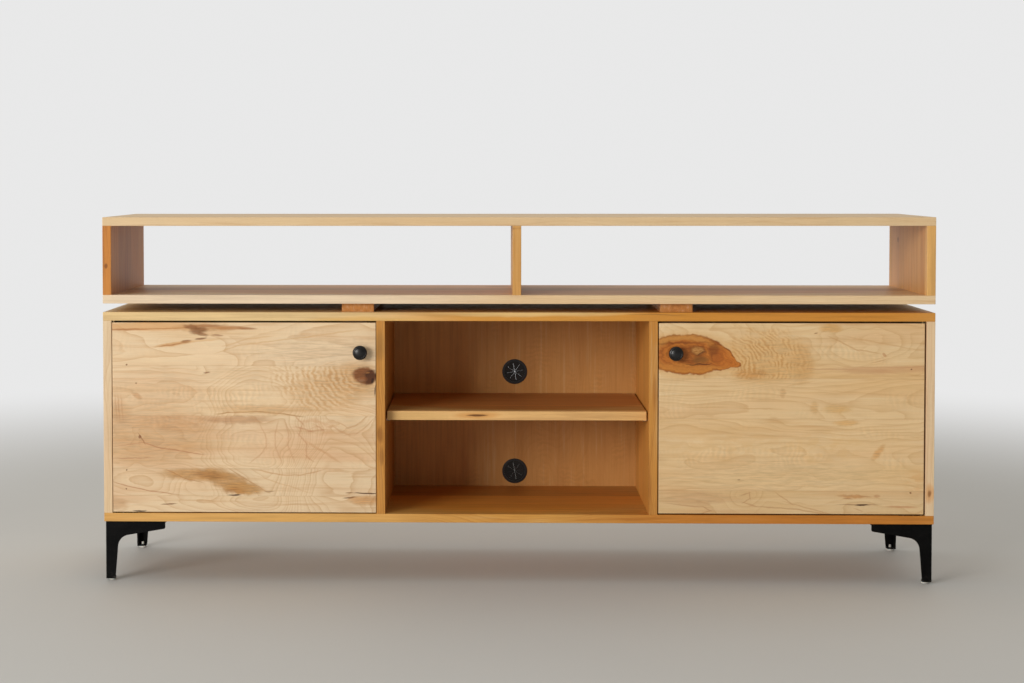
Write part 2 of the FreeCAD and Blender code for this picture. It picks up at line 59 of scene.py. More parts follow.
class Tree:
    """Short calls for making shader nodes, in the order they are evaluated."""

    def __init__(self, name):
        self.mat = bpy.data.materials.new(name)
        self.mat.use_nodes = True
        self.t = self.mat.node_tree
        self.t.nodes.clear()

    def new(self, kind, **props):
        n = self.t.nodes.new(kind)
        for k, v in props.items():
            setattr(n, k, v)
        return n

    def put(self, sock, v):
        if v is None:
            return
        if isinstance(v, bpy.types.NodeSocket):
            self.t.links.new(v, sock)
        else:
            sock.default_value = v

    def m(self, op, a, b=None, c=None, clamp=False):
        n = self.new("ShaderNodeMath", operation=op, use_clamp=clamp)
        for i, v in enumerate((a, b, c)):
            self.put(n.inputs[i], v)
        return n.outputs[0]

    def vm(self, op, a, b=None, s=None):
        n = self.new("ShaderNodeVectorMath", operation=op)
        self.put(n.inputs[0], a)
        if b is not None:
            self.put(n.inputs[1], b)
        if s is not None:
            self.put(n.inputs["Scale"], s)
        return n.outputs["Value"] if op in ("LENGTH", "DISTANCE", "DOT_PRODUCT") else n.outputs["Vector"]

    def xyz(self, x, y, z):
        n = self.new("ShaderNodeCombineXYZ")
        for i, v in enumerate((x, y, z)):
            self.put(n.inputs[i], v)
        return n.outputs[0]

    def sep(self, v):
        n = self.new("ShaderNodeSeparateXYZ")
        self.put(n.inputs[0], v)
        return n.outputs[0], n.outputs[1], n.outputs[2]

    def noise(self, v, size, detail=2.0, rough=0.5, dist=0.0, colour=False):
        """Noise from 0 to 1 about 0.5; size is its feature length along each axis."""
        if isinstance(size, (int, float)):
            size = (size, size, size)
        s = self.vm("MULTIPLY", v, tuple(1.0 / k for k in size))
        n = self.new("ShaderNodeTexNoise", noise_dimensions="3D")
        self.put(n.inputs["Vector"], s)
        n.inputs["Scale"].default_value = 1.0
        n.inputs["Detail"].default_value = detail
        n.inputs["Roughness"].default_value = rough
        n.inputs["Distortion"].default_value = dist
        if not colour:
            return n.outputs["Fac"]
        return self.xyz(*self.parts(n.outputs["Color"]))

    def parts(self, c):
        n = self.new("ShaderNodeSeparateColor")
        self.put(n.inputs[0], c)
        return n.outputs[0], n.outputs[1], n.outputs[2]

    def parts_of_noise(self, v, size, amp, detail=2.0):
        """Three offsets that wander between minus and plus half of amp."""
        s = self.vm("MULTIPLY", v, tuple(1.0 / k for k in size))
        n = self.new("ShaderNodeTexNoise", noise_dimensions="3D")
        self.put(n.inputs["Vector"], s)
        n.inputs["Scale"].default_value = 1.0
        n.inputs["Detail"].default_value = detail
        n.inputs["Roughness"].default_value = 0.58
        return [self.m("MULTIPLY_ADD", c, amp, -amp / 2) for c in self.parts(n.outputs["Color"])]

    def white(self, w):
        n = self.new("ShaderNodeTexWhiteNoise", noise_dimensions="1D")
        self.put(n.inputs["W"], w)
        return self.xyz(*self.parts(n.outputs["Color"]))

    def smooth(self, x, lo, hi, a=0.0, b=1.0):
        n = self.new("ShaderNodeMapRange", interpolation_type="SMOOTHSTEP", clamp=True)
        for i, v in enumerate((x, lo, hi, a, b)):
            self.put(n.inputs[i], v)
        return n.outputs[0]

    def lerp(self, x, lo, hi, a=0.0, b=1.0):
        n = self.new("ShaderNodeMapRange", interpolation_type="LINEAR", clamp=True)
        for i, v in enumerate((x, lo, hi, a, b)):
            self.put(n.inputs[i], v)
        return n.outputs[0]

    def mix(self, fac, a, b, mode="MIX"):
        n = self.new("ShaderNodeMix", data_type="RGBA", blend_type=mode)
        n.clamp_factor = True
        self.put(n.inputs[0], fac)
        self.put(n.inputs[6], a)
        self.put(n.inputs[7], b)
        return n.outputs[2]

    def ramp(self, x, stops, interp="LINEAR", alpha=False):
        n = self.new("ShaderNodeValToRGB")
        r = n.color_ramp
        r.interpolation = interp
        while len(r.elements) > 1:
            r.elements.remove(r.elements[-1])
        for i, (p, c) in enumerate(stops):
            e = r.elements[0] if i == 0 else r.elements.new(p)
            e.position = p
            e.color = c if len(c) == 4 else (c[0], c[1], c[2], 1.0)
        self.put(n.inputs[0], x)
        return n.outputs[1] if alpha else n.outputs[0]

    def grey(self, x, stops):
        return self.ramp(x, [(p, (v, v, v, v)) for p, v in stops], alpha=True)

    def position(self):
        return self.new("ShaderNodeTexCoord").outputs["Object"]

    def reach(self, uv, centre, radii, angle=0.0, squared=False):
        """1 on the ellipse's outline and 0 at its centre; uv are the two coordinates. Plain numbers only, so that long lists stay cheap."""
        c, s = math.cos(math.radians(angle)), math.sin(math.radians(angle))
        a = self.m("MULTIPLY_ADD", uv[0], c / radii[0], -(centre[0] * c + centre[1] * s) / radii[0])
        a = self.m("MULTIPLY_ADD", uv[1], s / radii[0], a) if abs(s) > 1e-6 else a
        b = self.m("MULTIPLY_ADD", uv[1], c / radii[1], (centre[0] * s - centre[1] * c) / radii[1])
        b = self.m("MULTIPLY_ADD", uv[0], -s / radii[1], b) if abs(s) > 1e-6 else b
        d = self.m("MULTIPLY", a, a)
        d = self.m("MULTIPLY_ADD", b, b, d)
        if len(uv) > 2:
            w = self.m("MULTIPLY_ADD", uv[2], 1.0 / radii[2], -centre[2] / radii[2])
            d = self.m("MULTIPLY_ADD", w, w, d)
        return d if squared else self.m("SQRT", d)

    def blob(self, uv, centre, radii, angle=0.0, soft=0.35):
        d = self.reach(uv, centre, radii, angle, True)
        return self.smooth(d, (1.0 + soft) ** 2, max(1.0 - soft, 0.0) ** 2)

    def finish(self, base, rough, bump=None, metal=0.0, spec=0.5, bump_mm=0.15, strength=0.6,
               coat=0.0, coat_rough=0.3, sss=0.0, sss_rgb=None):
        p = self.new("ShaderNodeBsdfPrincipled")
        self.put(p.inputs["Base Color"], base)
        self.put(p.inputs["Roughness"], rough)
        self.put(p.inputs["Metallic"], metal)
        self.put(p.inputs["Specular IOR Level"], spec)
        if coat:
            p.inputs["Coat Weight"].default_value = coat
            p.inputs["Coat Roughness"].default_value = coat_rough
        if sss:
            p.inputs["Subsurface Weight"].default_value = sss
            p.inputs["Subsurface Radius"].default_value = sss_rgb or (1.0, 0.6, 0.4)
            p.inputs["Subsurface Scale"].default_value = 0.002
        if bump is not None:
            b = self.new("ShaderNodeBump")
            b.inputs["Strength"].default_value = strength
            b.inputs["Distance"].default_value = bump_mm / 1000.0
            self.put(b.inputs["Height"], bump)
            self.t.links.new(b.outputs[0], p.inputs["Normal"])
        o = self.new("ShaderNodeOutputMaterial")
        self.t.links.new(p.outputs[0], o.inputs["Surface"])
        return self.mat


def paint(mat, *names):
    for n in names:
        o = NODES[n]
        if not o.material_slots:
            o.data.materials.append(mat)
        for s in o.material_slots:
            s.material = mat


# ---------------------------------------------------------------- maple

CREAM = (236, 212, 176)
PALE = (240, 221, 190)
GOLD = (228, 186, 124)
PINK = (226, 188, 150)
AMBER = (214, 158, 88)
RUST = (190, 124, 62)


def wood(name, axes, origin=(0.0, 0.0, 0.0), flip=False, seams=(), seed=0.0,
         base=CREAM, second=GOLD, third=PINK, line=(196, 148, 92),
         tone=None, gold=None, pinkish=None, warp=14.0, wild=None, pitch=5.5, ring=0.35,
         streak=0.35, curl=None, centre=None, depth=70.0, marks=None, level=1.0, rough=0.47,
         ring_pull=(), band=(), tint=(1.0, 1.0, 1.0)):
    """Solid wood cut from one block: growth rings about a wandering heart that runs along the first axis.

    axes names the board's length, width and thickness. Everything is in millimetres, from origin,
    with the width counted downwards if flip. seams are the glue lines across the width; the lists
    tone, gold, pinkish, wild and centre have one value for each strip between them.
    """
    t = Tree(name)
    n_strips = len(seams) + 1
    rest = [1.0] * n_strips
    tone = tone or rest
    gold = gold or [0.3] * n_strips
    pinkish = pinkish or [0.25] * n_strips
    wild = wild or [0.0] * n_strips
    curl = curl or [0.15] * n_strips
    centre = centre or [0.0] * n_strips

    P = t.position()
    xyz = dict(zip("xyz", t.sep(P)))
    u = t.m("MULTIPLY_ADD", xyz[axes[0]], 1000.0, -origin[0])
    if flip:
        v = t.m("MULTIPLY_ADD", xyz[axes[1]], -1000.0, origin[1])
    else:
        v = t.m("MULTIPLY_ADD", xyz[axes[1]], 1000.0, -origin[1])
    w = t.m("MULTIPLY_ADD", xyz[axes[2]], 1000.0, -origin[2])
    Q = t.xyz(u, v, w)

    # which strip, and its own random numbers
    wob = t.noise(Q, (90.0, 400.0, 400.0), 1.0)
    vs = t.m("MULTIPLY_ADD", wob, 0.5, v)
    steps = [t.m("GREATER_THAN", vs, s) for s in seams]
    sid = seed
    for s in steps:
        sid = t.m("ADD", sid, s)

    def pick(values):
        out = values[0]
        for k, s in enumerate(steps):
            dv = values[k + 1] - values[k]
            if abs(dv) > 1e-9:
                out = t.m("MULTIPLY_ADD", s, dv, out)
        return out

    rnd = t.white(t.m("MULTIPLY_ADD", sid, 3.713, 0.317) if steps else seed * 3.713 + 0.317)
    shift = t.vm("SCALE", rnd, s=900.0)
    Qs = t.vm("ADD", Q, shift)
    r1, r2, r3 = t.sep(rnd)

    # growth rings
    big = t.sep(t.noise(Qs, (330.0, 120.0, 120.0), 1.5, 0.45, colour=True))
    vv = t.m("SUBTRACT", v, pick(centre))
    vv = t.m("MULTIPLY_ADD", t.m("SUBTRACT", big[0], 0.5), warp * 5.0, vv)
    ww = t.m("MULTIPLY_ADD", t.m("SUBTRACT", big[1], 0.5), warp * 6.0, w)
    ww = t.m("ADD", ww, t.m("MULTIPLY_ADD", r2, depth, depth * 0.6))
    r = t.vm("LENGTH", t.xyz(vv, ww, 0.0))
    if any(wild):
        turb = t.noise(Qs, (95.0, 52.0, 60.0), 1.2, 0.5, 0.25)
        r = t.m("MULTIPLY_ADD", t.m("SUBTRACT", turb, 0.5), pick(wild), r)
    for (cu, cv, ru, rv, push) in ring_pull:
        g = t.blob((u, v), (cu, cv), (ru, rv), 0.0, 0.9)
        r = t.m("MULTIPLY_ADD", g, push, r)
    small = t.noise(Qs, (60.0, 7.0, 7.0), 2.0, 0.5)
    q = t.m("DIVIDE", t.m("MULTIPLY_ADD", small, 2.2, r), pitch)
    f = t.m("FRACT", q)
    late = t.grey(f, [(0.0, 0.0), (0.45, 0.1), (0.80, 0.55), (0.93, 1.0), (1.0, 0.0)])
    which = t.sep(t.white(t.m("FLOOR", q)))[0]
    late = t.m("MULTIPLY", late, t.m("MULTIPLY_ADD", which, 0.8, 0.35))
    early = t.m("MULTIPLY", t.m("SUBTRACT", which, 0.5), 0.35)

    # slow drifts of colour, along and across
    slow = t.sep(t.noise(Qs, (520.0, 62.0, 70.0), 2.0, 0.55, colour=True))
    mid = t.noise(Qs, (210.0, 8.0, 9.0), 3.0, 0.6)
    fine = t.noise(Qs, (46.0, 1.5, 1.5), 3.0, 0.65)
    pore = t.noise(Qs, (7.0, 0.42, 0.42), 2.0, 0.6)
    cloud = t.noise(Qs, (70.0, 38.0, 40.0), 3.0, 0.55)

    col = t.mix(t.m("MULTIPLY", t.smooth(slow[0], 0.42, 0.72), pick(gold), clamp=True), rgb(base), rgb(second))
    col = t.mix(t.m("MULTIPLY", t.smooth(slow[1], 0.45, 0.70), pick(pinkish), clamp=True), col, rgb(third))
    col = t.mix(t.m("MULTIPLY", t.m("ADD", late, early, clamp=True), ring), col, rgb(line), "MIX")
    col = t.mix(t.m("MULTIPLY", t.smooth(mid, 0.50, 0.74), streak, clamp=True), col, rgb(line))
    col = t.mix(t.m("MULTIPLY", t.smooth(mid, 0.47, 0.27), 0.30, clamp=True), col, rgb(PALE))
    col = t.mix(t.m("MULTIPLY", t.smooth(slow[2], 0.66, 0.78), t.smooth(mid, 0.42, 0.60)), col, rgb((206, 158, 104)))
    # light and dark from the fibres, the clouding and the curl
    val = t.m("MULTIPLY_ADD", t.m("SUBTRACT", fine, 0.5), 0.20, 1.0)
    val = t.m("MULTIPLY_ADD", t.m("SUBTRACT", pore, 0.5), 0.10, val)
    val = t.m("MULTIPLY_ADD", t.m("SUBTRACT", cloud, 0.5), 0.13, val)
    bend = t.noise(Qs, (64.0, 44.0, 44.0), 3.0, 0.6)
    wave = t.m("SINE", t.m("MULTIPLY_ADD", u, 0.50, t.m("MULTIPLY", bend, 26.0)))
    cmask = t.m("MULTIPLY", t.smooth(t.noise(Qs, (110.0, 48.0, 48.0), 2.0), 0.50, 0.74), pick(curl))
    val = t.m("MULTIPLY_ADD", t.m("MULTIPLY", wave, cmask), 0.10, val)
    # each strip's tone: its own tone, which in some boards also paints shade
    val = t.m("MULTIPLY", val, pick([k * level for k in tone]))
    # medullary flecks
    fleck = t.smooth(t.noise(Qs, (5.0, 1.3, 0.8), 1.0), 0.70, 0.78)
    col = t.mix(t.m("MULTIPLY", fleck, 0.22), col, rgb((204, 156, 104)))
    # the ends drink the finish and go darker
    nrm = t.sep(t.new("ShaderNodeTexCoord").outputs["Normal"])
    end = t.smooth(t.m("ABSOLUTE", nrm["xyz".index(axes[0])]), 0.80, 0.97)
    col = t.mix(t.m("MULTIPLY", end, 0.34), col, rgb((196, 138, 78)))

    # band patches: colour at given places, the wood's own colour in some boards, and painted light and painted shade in
    # others
    if band:
        n = t.parts_of_noise(Q, (90.0, 26.0, 26.0), 22.0)
        uvw = (t.m("ADD", u, n[0]), t.m("ADD", v, n[1]), t.m("ADD", w, t.m("MULTIPLY", n[2], 0.35)))
    for (cu, cv, cw, ru, rv, rw, c, k, soft) in band:
        z = t.blob(uvw, (cu, cv, cw), (ru, rv, rw), 0.0, soft)
        c2 = t.mix(t.m("MULTIPLY", t.smooth(mid, 0.40, 0.66), 0.5), rgb(c), rgb([x * 0.86 for x in c]))
        col = t.mix(t.m("MULTIPLY", z, k), col, c2)

    if marks is not None:
        col, val = marks(t, Q, Qs, u, v, col, val)

    # thin glue lines
    for s in seams:
        d = t.m("ABSOLUTE", t.m("SUBTRACT", vs, s))
        g = t.smooth(d, 0.75, 0.15)
        col = t.mix(t.m("MULTIPLY", g, 0.24), col, rgb((150, 100, 56)))

    col = t.mix(1.0, col, t.xyz(*[t.m("MULTIPLY", val, k) for k in tint]), "MULTIPLY")
    ro = t.m("MULTIPLY_ADD", t.m("SUBTRACT", fine, 0.5), 0.16, rough)
    ro = t.m("MULTIPLY_ADD", end, 0.12, ro)
    h = t.m("MULTIPLY_ADD", pore, 0.6, t.m("MULTIPLY", fine, 0.8))
    h = t.m("MULTIPLY_ADD", late, 0.35, h)
    return t.finish(col, ro, h, spec=0.26, bump_mm=0.06, strength=0.45, coat=0.04, coat_rough=0.35)


def mark_maker(items, rings=()):
    """Knots, streaks and stains at their places: (kind, centre, radii, angle, softness, colour, strength)."""

    def run(t, Q, Qs, u, v, col, val):
        # the places wait for the colour so far, which keeps few values in use at once
        tie = t.parts(col)[0]
        coords = {}
        for key, size, amp in (("s", (26.0, 14.0, 30.0), 5.0), ("k", (17.0, 13.0, 30.0), 11.0),
                               ("z", (60.0, 30.0, 60.0), 34.0)):
            n = t.parts_of_noise(Q, size, amp)
            coords[key] = (t.m("MULTIPLY_ADD", tie, 1e-7, t.m("ADD", u, n[0])),
                           t.m("MULTIPLY_ADD", tie, 1e-7, t.m("ADD", v, n[1])))
        coords["v"] = t.m("MULTIPLY_ADD", tie, 1e-7, v)
        tex = t.noise(Qs, (30.0, 3.0, 3.0), 2.0, 0.6)
        mot = t.noise(Qs, (24.0, 11.0, 14.0), 3.0, 0.6)
        tex = t.m("MULTIPLY_ADD", tie, 1e-7, t.smooth(tex, 0.35, 0.7))
        mot = t.m("MULTIPLY_ADD", tie, 1e-7, t.smooth(mot, 0.40, 0.62))
        for it in items:
            kind, cu, cv, ru, rv, ang, soft, c, k = it
            z = t.blob(coords[kind[0]], (cu, cv), (ru, rv), ang, soft)
            f = t.m("MULTIPLY", z, k, clamp=True)
            if kind == "zm":
                f = t.m("MULTIPLY", f, mot, clamp=True)
            if kind[0] == "k" or kind == "z":
                col = t.mix(f, col, t.mix(tex, rgb(c), rgb([x * 0.84 for x in c])))
            else:
                col = t.mix(f, col, rgb(c))
        for fn in rings:
            col, val = fn(t, Q, Qs, coords, col, val)
        return col, val
    return run


# Features of the left door, in millimetres from its top left corner
LEFT_SEAMS = (95.9, 206.6, 323.5, 384.5)
LEFT_ITEMS = [
    ('z', 461.8, 65.9, 114.4, 26.4, 0, 0.7, (240, 219, 188), 0.45),
    ('s', 80.5, 8.8, 101.2, 7.9, 0, 0.55, (222, 170, 112), 0.72),
    ('s', 29.5, 15.1, 40.8, 1.9, -0.5, 0.6, (172, 108, 52), 0.7),
    ('s', 115.9, 13.1, 57.2, 1.4, -1.3, 0.7, (184, 126, 70), 0.6),
    ('k', 204.6, 10.6, 52.8, 7.9, 0, 0.6, (206, 152, 94), 0.6),
    ('k', 175.8, 9.7, 15.4, 4.2, 7, 0.5, (150, 92, 46), 0.75),
    ('k', 193.5, 16.8, 17.6, 7, -6, 0.5, (140, 86, 40), 0.8),
    ('s', 209.1, 6.9, 28.6, 2.6, 0, 0.5, (158, 100, 52), 0.65),
    ('k', 198, 26.5, 13.2, 3.3, 9, 0.5, (150, 94, 46), 0.7),
    ('s', 233.5, 28.1, 11, 2, 0, 0.5, (152, 96, 50), 0.6),
    ('s', 262.3, 11.5, 33, 3.7, 0, 0.6, (178, 118, 64), 0.65),
    ('s', 300, 12.8, 17.6, 2.2, 2, 0.6, (150, 94, 48), 0.65),
    ('s', 196.9, 35.4, 10.1, 2, -6, 0.5, (124, 74, 34), 0.75),
    ('s', 135.9, 47.5, 36.4, 3.5, -7.9, 0.5, (210, 156, 94), 0.7),
    ('s', 133.7, 48.6, 29.3, 1, -8.5, 0.6, (168, 106, 54), 0.65),
    ('s', 164.7, 41.5, 9.7, 2.2, -6, 0.5, (142, 86, 42), 0.75),
    ('s', 199.1, 40.2, 32.6, 1.8, -3.8, 0.5, (222, 178, 124), 0.5),
    ('s', 257.8, 58.1, 25.7, 1.3, -19.2, 0.7, (212, 170, 118), 0.42),
    ('s', 308.8, 46.4, 31.6, 1.3, -7.9, 0.7, (212, 170, 118), 0.42),
    ('s', 388.6, 36.5, 55.2, 1.3, -6.7, 0.7, (212, 170, 118), 0.42),
    ('s', 486.2, 23.9, 50.6, 1.3, -8.1, 0.7, (212, 170, 118), 0.42),
    ('s', 275.6, 43.8, 25.3, 1.2, -16.6, 0.7, (212, 170, 118), 0.4),
    ('s', 322.1, 33.8, 26.9, 1.2, -7.7, 0.7, (212, 170, 118), 0.4),
    ('s', 31.3, 93.5, 1.7, 1.7, 0, 0.4, (128, 78, 42), 0.85),
    ('z', 96, 147.6, 92.4, 35.2, 0, 0.8, (222, 178, 136), 0.3),
    ('s', 209.5, 110.8, 6.5, 1.2, -3.6, 0.5, (132, 78, 42), 0.75),
    ('s', 52.5, 134.4, 1.8, 1.8, 0, 0.4, (140, 90, 55), 0.7),
    ('k', 55, 162, 10.1, 4, 32, 0.6, (204, 150, 100), 0.55),
    ('z', 14, 194, 19.8, 19.8, 20, 0.8, (206, 154, 104), 0.4),
    ('s', 8, 189.6, 19.6, 1.2, 85, 0.9, (184, 124, 78), 0.34),
    ('s', 14.2, 189.6, 19.6, 1.2, 85, 0.9, (184, 124, 78), 0.4),
    ('s', 21.3, 189.6, 19.6, 1.2, 85, 0.9, (184, 124, 78), 0.3),
    ('s', 244.5, 200.9, 15, 1.3, -6.6, 0.6, (176, 124, 66), 0.6),
    ('s', 288.9, 198.2, 33.7, 1.3, -2, 0.6, (176, 124, 66), 0.6),
    ('s', 348.7, 199.3, 31.4, 1.3, 4.4, 0.6, (176, 124, 66), 0.6),
    ('s', 397.5, 204.4, 22.2, 1.3, 8.2, 0.6, (176, 124, 66), 0.6),
    ('k', 333.2, 190.7, 92.4, 7, 0, 0.8, (214, 168, 114), 0.5),
    ('z', 284.4, 114.5, 48.4, 11, 0, 0.8, (226, 190, 146), 0.3),
    ('z', 501.7, 141, 88, 37.4, -6, 0.6, (220, 174, 120), 0.6),
    ('k', 532.7, 123.3, 46.2, 27.5, 0, 0.6, (214, 166, 112), 0.6),
    ('k', 558.5, 116.7, 25.1, 18.5, 6, 0.2, (134, 78, 38), 0.95),
    ('k', 572.2, 120.2, 11.9, 16.3, 24, 0.3, (88, 47, 20), 0.9),
    ('k', 546.5, 110.9, 10.1, 7.5, 0, 0.5, (152, 92, 48), 0.6),
    ('k', 553.8, 126.6, 7.9, 5.3, -20, 0.5, (146, 86, 44), 0.55),
    ('k', 567.3, 111.4, 3.3, 2.4, 0, 0.5, (176, 118, 62), 0.6),
    ('k', 576.2, 128.2, 2.9, 4.8, 0, 0.4, (52, 27, 11), 0.8),
    ('s', 581.7, 149.8, 10.2, 1, 91.4, 0.5, (70, 36, 16), 0.75),
    ('z', 84.9, 251.5, 118.8, 52.8, 0, 0.7, (212, 164, 114), 0.5),
    ('zm', 155.9, 220.6, 74.8, 13.2, 0, 0.7, (208, 160, 112), 0.45),
    ('k', 280, 214.8, 59.4, 7.5, 0, 0.6, (198, 146, 100), 0.55),
    ('zm', 457.4, 229.4, 39.6, 14.3, 4, 0.7, (206, 152, 106), 0.45),
    ('s', 64.7, 257.5, 12.7, 1.2, 57.8, 0.6, (158, 98, 58), 0.6),
    ('s', 86.7, 272.5, 18.7, 1.1, 19.1, 0.7, (182, 120, 76), 0.55),
    ('s', 124.8, 281, 24.5, 1.1, 7.7, 0.7, (182, 120, 76), 0.55),
    ('s', 171.4, 287.6, 26.9, 1.1, 8.5, 0.7, (182, 120, 76), 0.55),
    ('s', 42.8, 301, 40.8, 1.1, -0.7, 0.7, (186, 124, 80), 0.5),
    ('s', 38.4, 270.3, 26.9, 1, -7.7, 0.7, (186, 124, 80), 0.4),
    ('s', 60.5, 253.7, 2.9, 3.7, 0, 0.4, (132, 80, 42), 0.75),
    ('s', 414.5, 216.2, 11.8, 1.3, 47.5, 0.9, (198, 142, 100), 0.45),
    ('s', 417.5, 235.9, 14.2, 1.3, 108.3, 0.9, (198, 142, 100), 0.45),
    ('s', 421.6, 258, 14.5, 1.3, 51.2, 0.9, (198, 142, 100), 0.45),
    ('s', 429.7, 281.9, 15.4, 1.3, 90, 0.9, (198, 142, 100), 0.45),
    ('s', 435.6, 299.9, 8.6, 1.3, 35, 0.9, (198, 142, 100), 0.45),
    ('s', 425.2, 235.7, 14.4, 1.3, 18.5, 0.9, (194, 136, 94), 0.42),
    ('s', 451.8, 238.3, 16.2, 1.3, -5.7, 0.9, (194, 136, 94), 0.42),
    ('s', 459.6, 232.4, 9.3, 1.3, -145.7, 0.9, (194, 136, 94), 0.42),
    ('s', 499.5, 236.7, 9.7, 1.3, 37.4, 0.9, (200, 146, 102), 0.42),
    ('s', 513.9, 244.6, 9.6, 1.3, 20.3, 0.9, (200, 146, 102), 0.42),
    ('s', 531.6, 246.2, 11.5, 1.3, -7.6, 0.9, (200, 146, 102), 0.42),
    ('s', 550.5, 238.9, 12.1, 1.3, -33.9, 0.9, (200, 146, 102), 0.42),
    ('s', 567.1, 224.5, 12.9, 1.3, -47.3, 0.9, (200, 146, 102), 0.42),
    ('s', 511.7, 226.9, 12.9, 1.1, 29.5, 0.7, (198, 142, 98), 0.45),
    ('s', 530.5, 229.8, 10.6, 1.1, -16.6, 0.7, (198, 142, 98), 0.45),
    ('s', 550.5, 217.9, 16.1, 1.1, -39.9, 0.7, (198, 142, 98), 0.45),
    ('s', 334.3, 240.4, 13.9, 1.2, 63.4, 0.9, (204, 152, 110), 0.36),
    ('s', 340.5, 262.5, 12.5, 1.2, 86.6, 0.9, (204, 152, 110), 0.36),
    ('s', 335, 282.4, 12.2, 1.2, 125.1, 0.9, (204, 152, 110), 0.36),
    ('s', 318.8, 299, 14.2, 1.2, 142.2, 0.9, (204, 152, 110), 0.36),
    ('s', 363.6, 234.9, 14, 1.2, 103.3, 0.9, (204, 152, 110), 0.36),
    ('s', 360.9, 260.3, 14.9, 1.2, 89, 0.9, (204, 152, 110), 0.36),
    ('s', 367.1, 289.1, 18.4, 1.2, 68.8, 0.9, (204, 152, 110), 0.36),
    ('s', 387.1, 233.8, 15.2, 1.2, 77.7, 0.9, (204, 152, 110), 0.36),
    ('s', 390, 260.3, 14.9, 1.2, 90, 0.9, (204, 152, 110), 0.36),
    ('s', 396, 289.1, 18.4, 1.2, 68.8, 0.9, (204, 152, 110), 0.36),
    ('s', 451.8, 276.4, 18.4, 2, 29.9, 0.8, (208, 158, 112), 0.45),
    ('s', 481.8, 294.6, 20.3, 2, 32.7, 0.8, (208, 158, 112), 0.45),
    ('z', 532.7, 231.6, 37.4, 19.8, 0, 0.7, (228, 190, 142), 0.25),
    ('s', 30.6, 327.1, 1.7, 1.7, 0, 0.4, (128, 78, 42), 0.85),
    ('s', 29.5, 369.3, 1.7, 1.7, 0, 0.4, (128, 78, 42), 0.85),
    ('k', 186.9, 337.7, 70.4, 12.3, 3, 0.35, (208, 158, 98), 0.8),
    ('k', 253.4, 349.8, 52.8, 18.9, 18, 0.35, (202, 152, 92), 0.8),
    ('k', 291.1, 367.7, 39.6, 13.2, 6, 0.35, (206, 156, 94), 0.8),
    ('k', 213.5, 338.8, 28.6, 6.6, 8, 0.6, (186, 130, 72), 0.6),
    ('k', 271.1, 373, 19.8, 6.6, 0, 0.6, (190, 132, 72), 0.6),
    ('s', 144.8, 338.2, 24.2, 1, 25.2, 0.6, (178, 120, 66), 0.5),
    ('s', 180.2, 350.8, 17.6, 1, 11.7, 0.6, (178, 120, 66), 0.5),
    ('s', 300, 349.3, 42.2, 1, 31.6, 0.7, (186, 130, 76), 0.45),
    ('s', 38.4, 363.8, 39.4, 1.1, 13.3, 0.6, (182, 116, 72), 0.55),
    ('s', 107.1, 376.6, 36.4, 1.1, 7.6, 0.6, (182, 116, 72), 0.55),
    ('s', 347.6, 331.9, 26, 1.2, 11.8, 0.7, (200, 146, 96), 0.5),
    ('s', 394.2, 337.5, 25.5, 1.2, 1.6, 0.7, (200, 146, 96), 0.5),
    ('s', 440.2, 332.4, 25.6, 1.2, -14.2, 0.7, (200, 146, 96), 0.5),
    ('s', 375.3, 357.6, 47.6, 1.1, 17.5, 0.8, (210, 166, 118), 0.4),
    ('s', 270.1, 381.9, 12, 1.4, 0, 0.5, (64, 32, 14), 0.92),
    ('s', 347.3, 374.8, 9.4, 1.2, -3.1, 0.5, (160, 128, 92), 0.7),
    ('s', 563.1, 377.2, 24.1, 1.5, 0.6, 0.5, (84, 50, 24), 0.9),
    ('s', 525, 376.4, 7.9, 1.1, 0, 0.5, (140, 95, 55), 0.7),
    ('s', 525.8, 387.6, 12.9, 1.4, -4.4, 0.5, (104, 60, 28), 0.85),
    ('k', 559.3, 392.9, 28.6, 8.8, 0, 0.6, (216, 154, 84), 0.65),
    ('s', 124.2, 402.7, 14.9, 1.3, -3.8, 0.5, (132, 82, 44), 0.8),
    ('z', 7.3, 399.6, 22, 11, 0, 0.7, (208, 160, 114), 0.5),
    ('s', 59, 418.1, 13.3, 1.3, 0, 0.5, (62, 32, 15), 0.85),
    ('s', 217.9, 395.1, 71.3, 1.3, 1.9, 0.7, (206, 160, 112), 0.4),
    ('s', 400.8, 402.9, 89, 1.3, -2.3, 0.7, (206, 160, 112), 0.35),
]
LEFT_PULL = [
    (506.1, 326.6, 90.0, 90.0, 70.0),
    (554.9, 118.9, 60.0, 34.0, 30.0),
    (333.2, 260.3, 80.0, 110.0, -70.0),
    (173.6, 46.0, 60.0, 14.0, 12.0),
    (251.2, 355.4, 80.0, 22.0, 20.0),
]

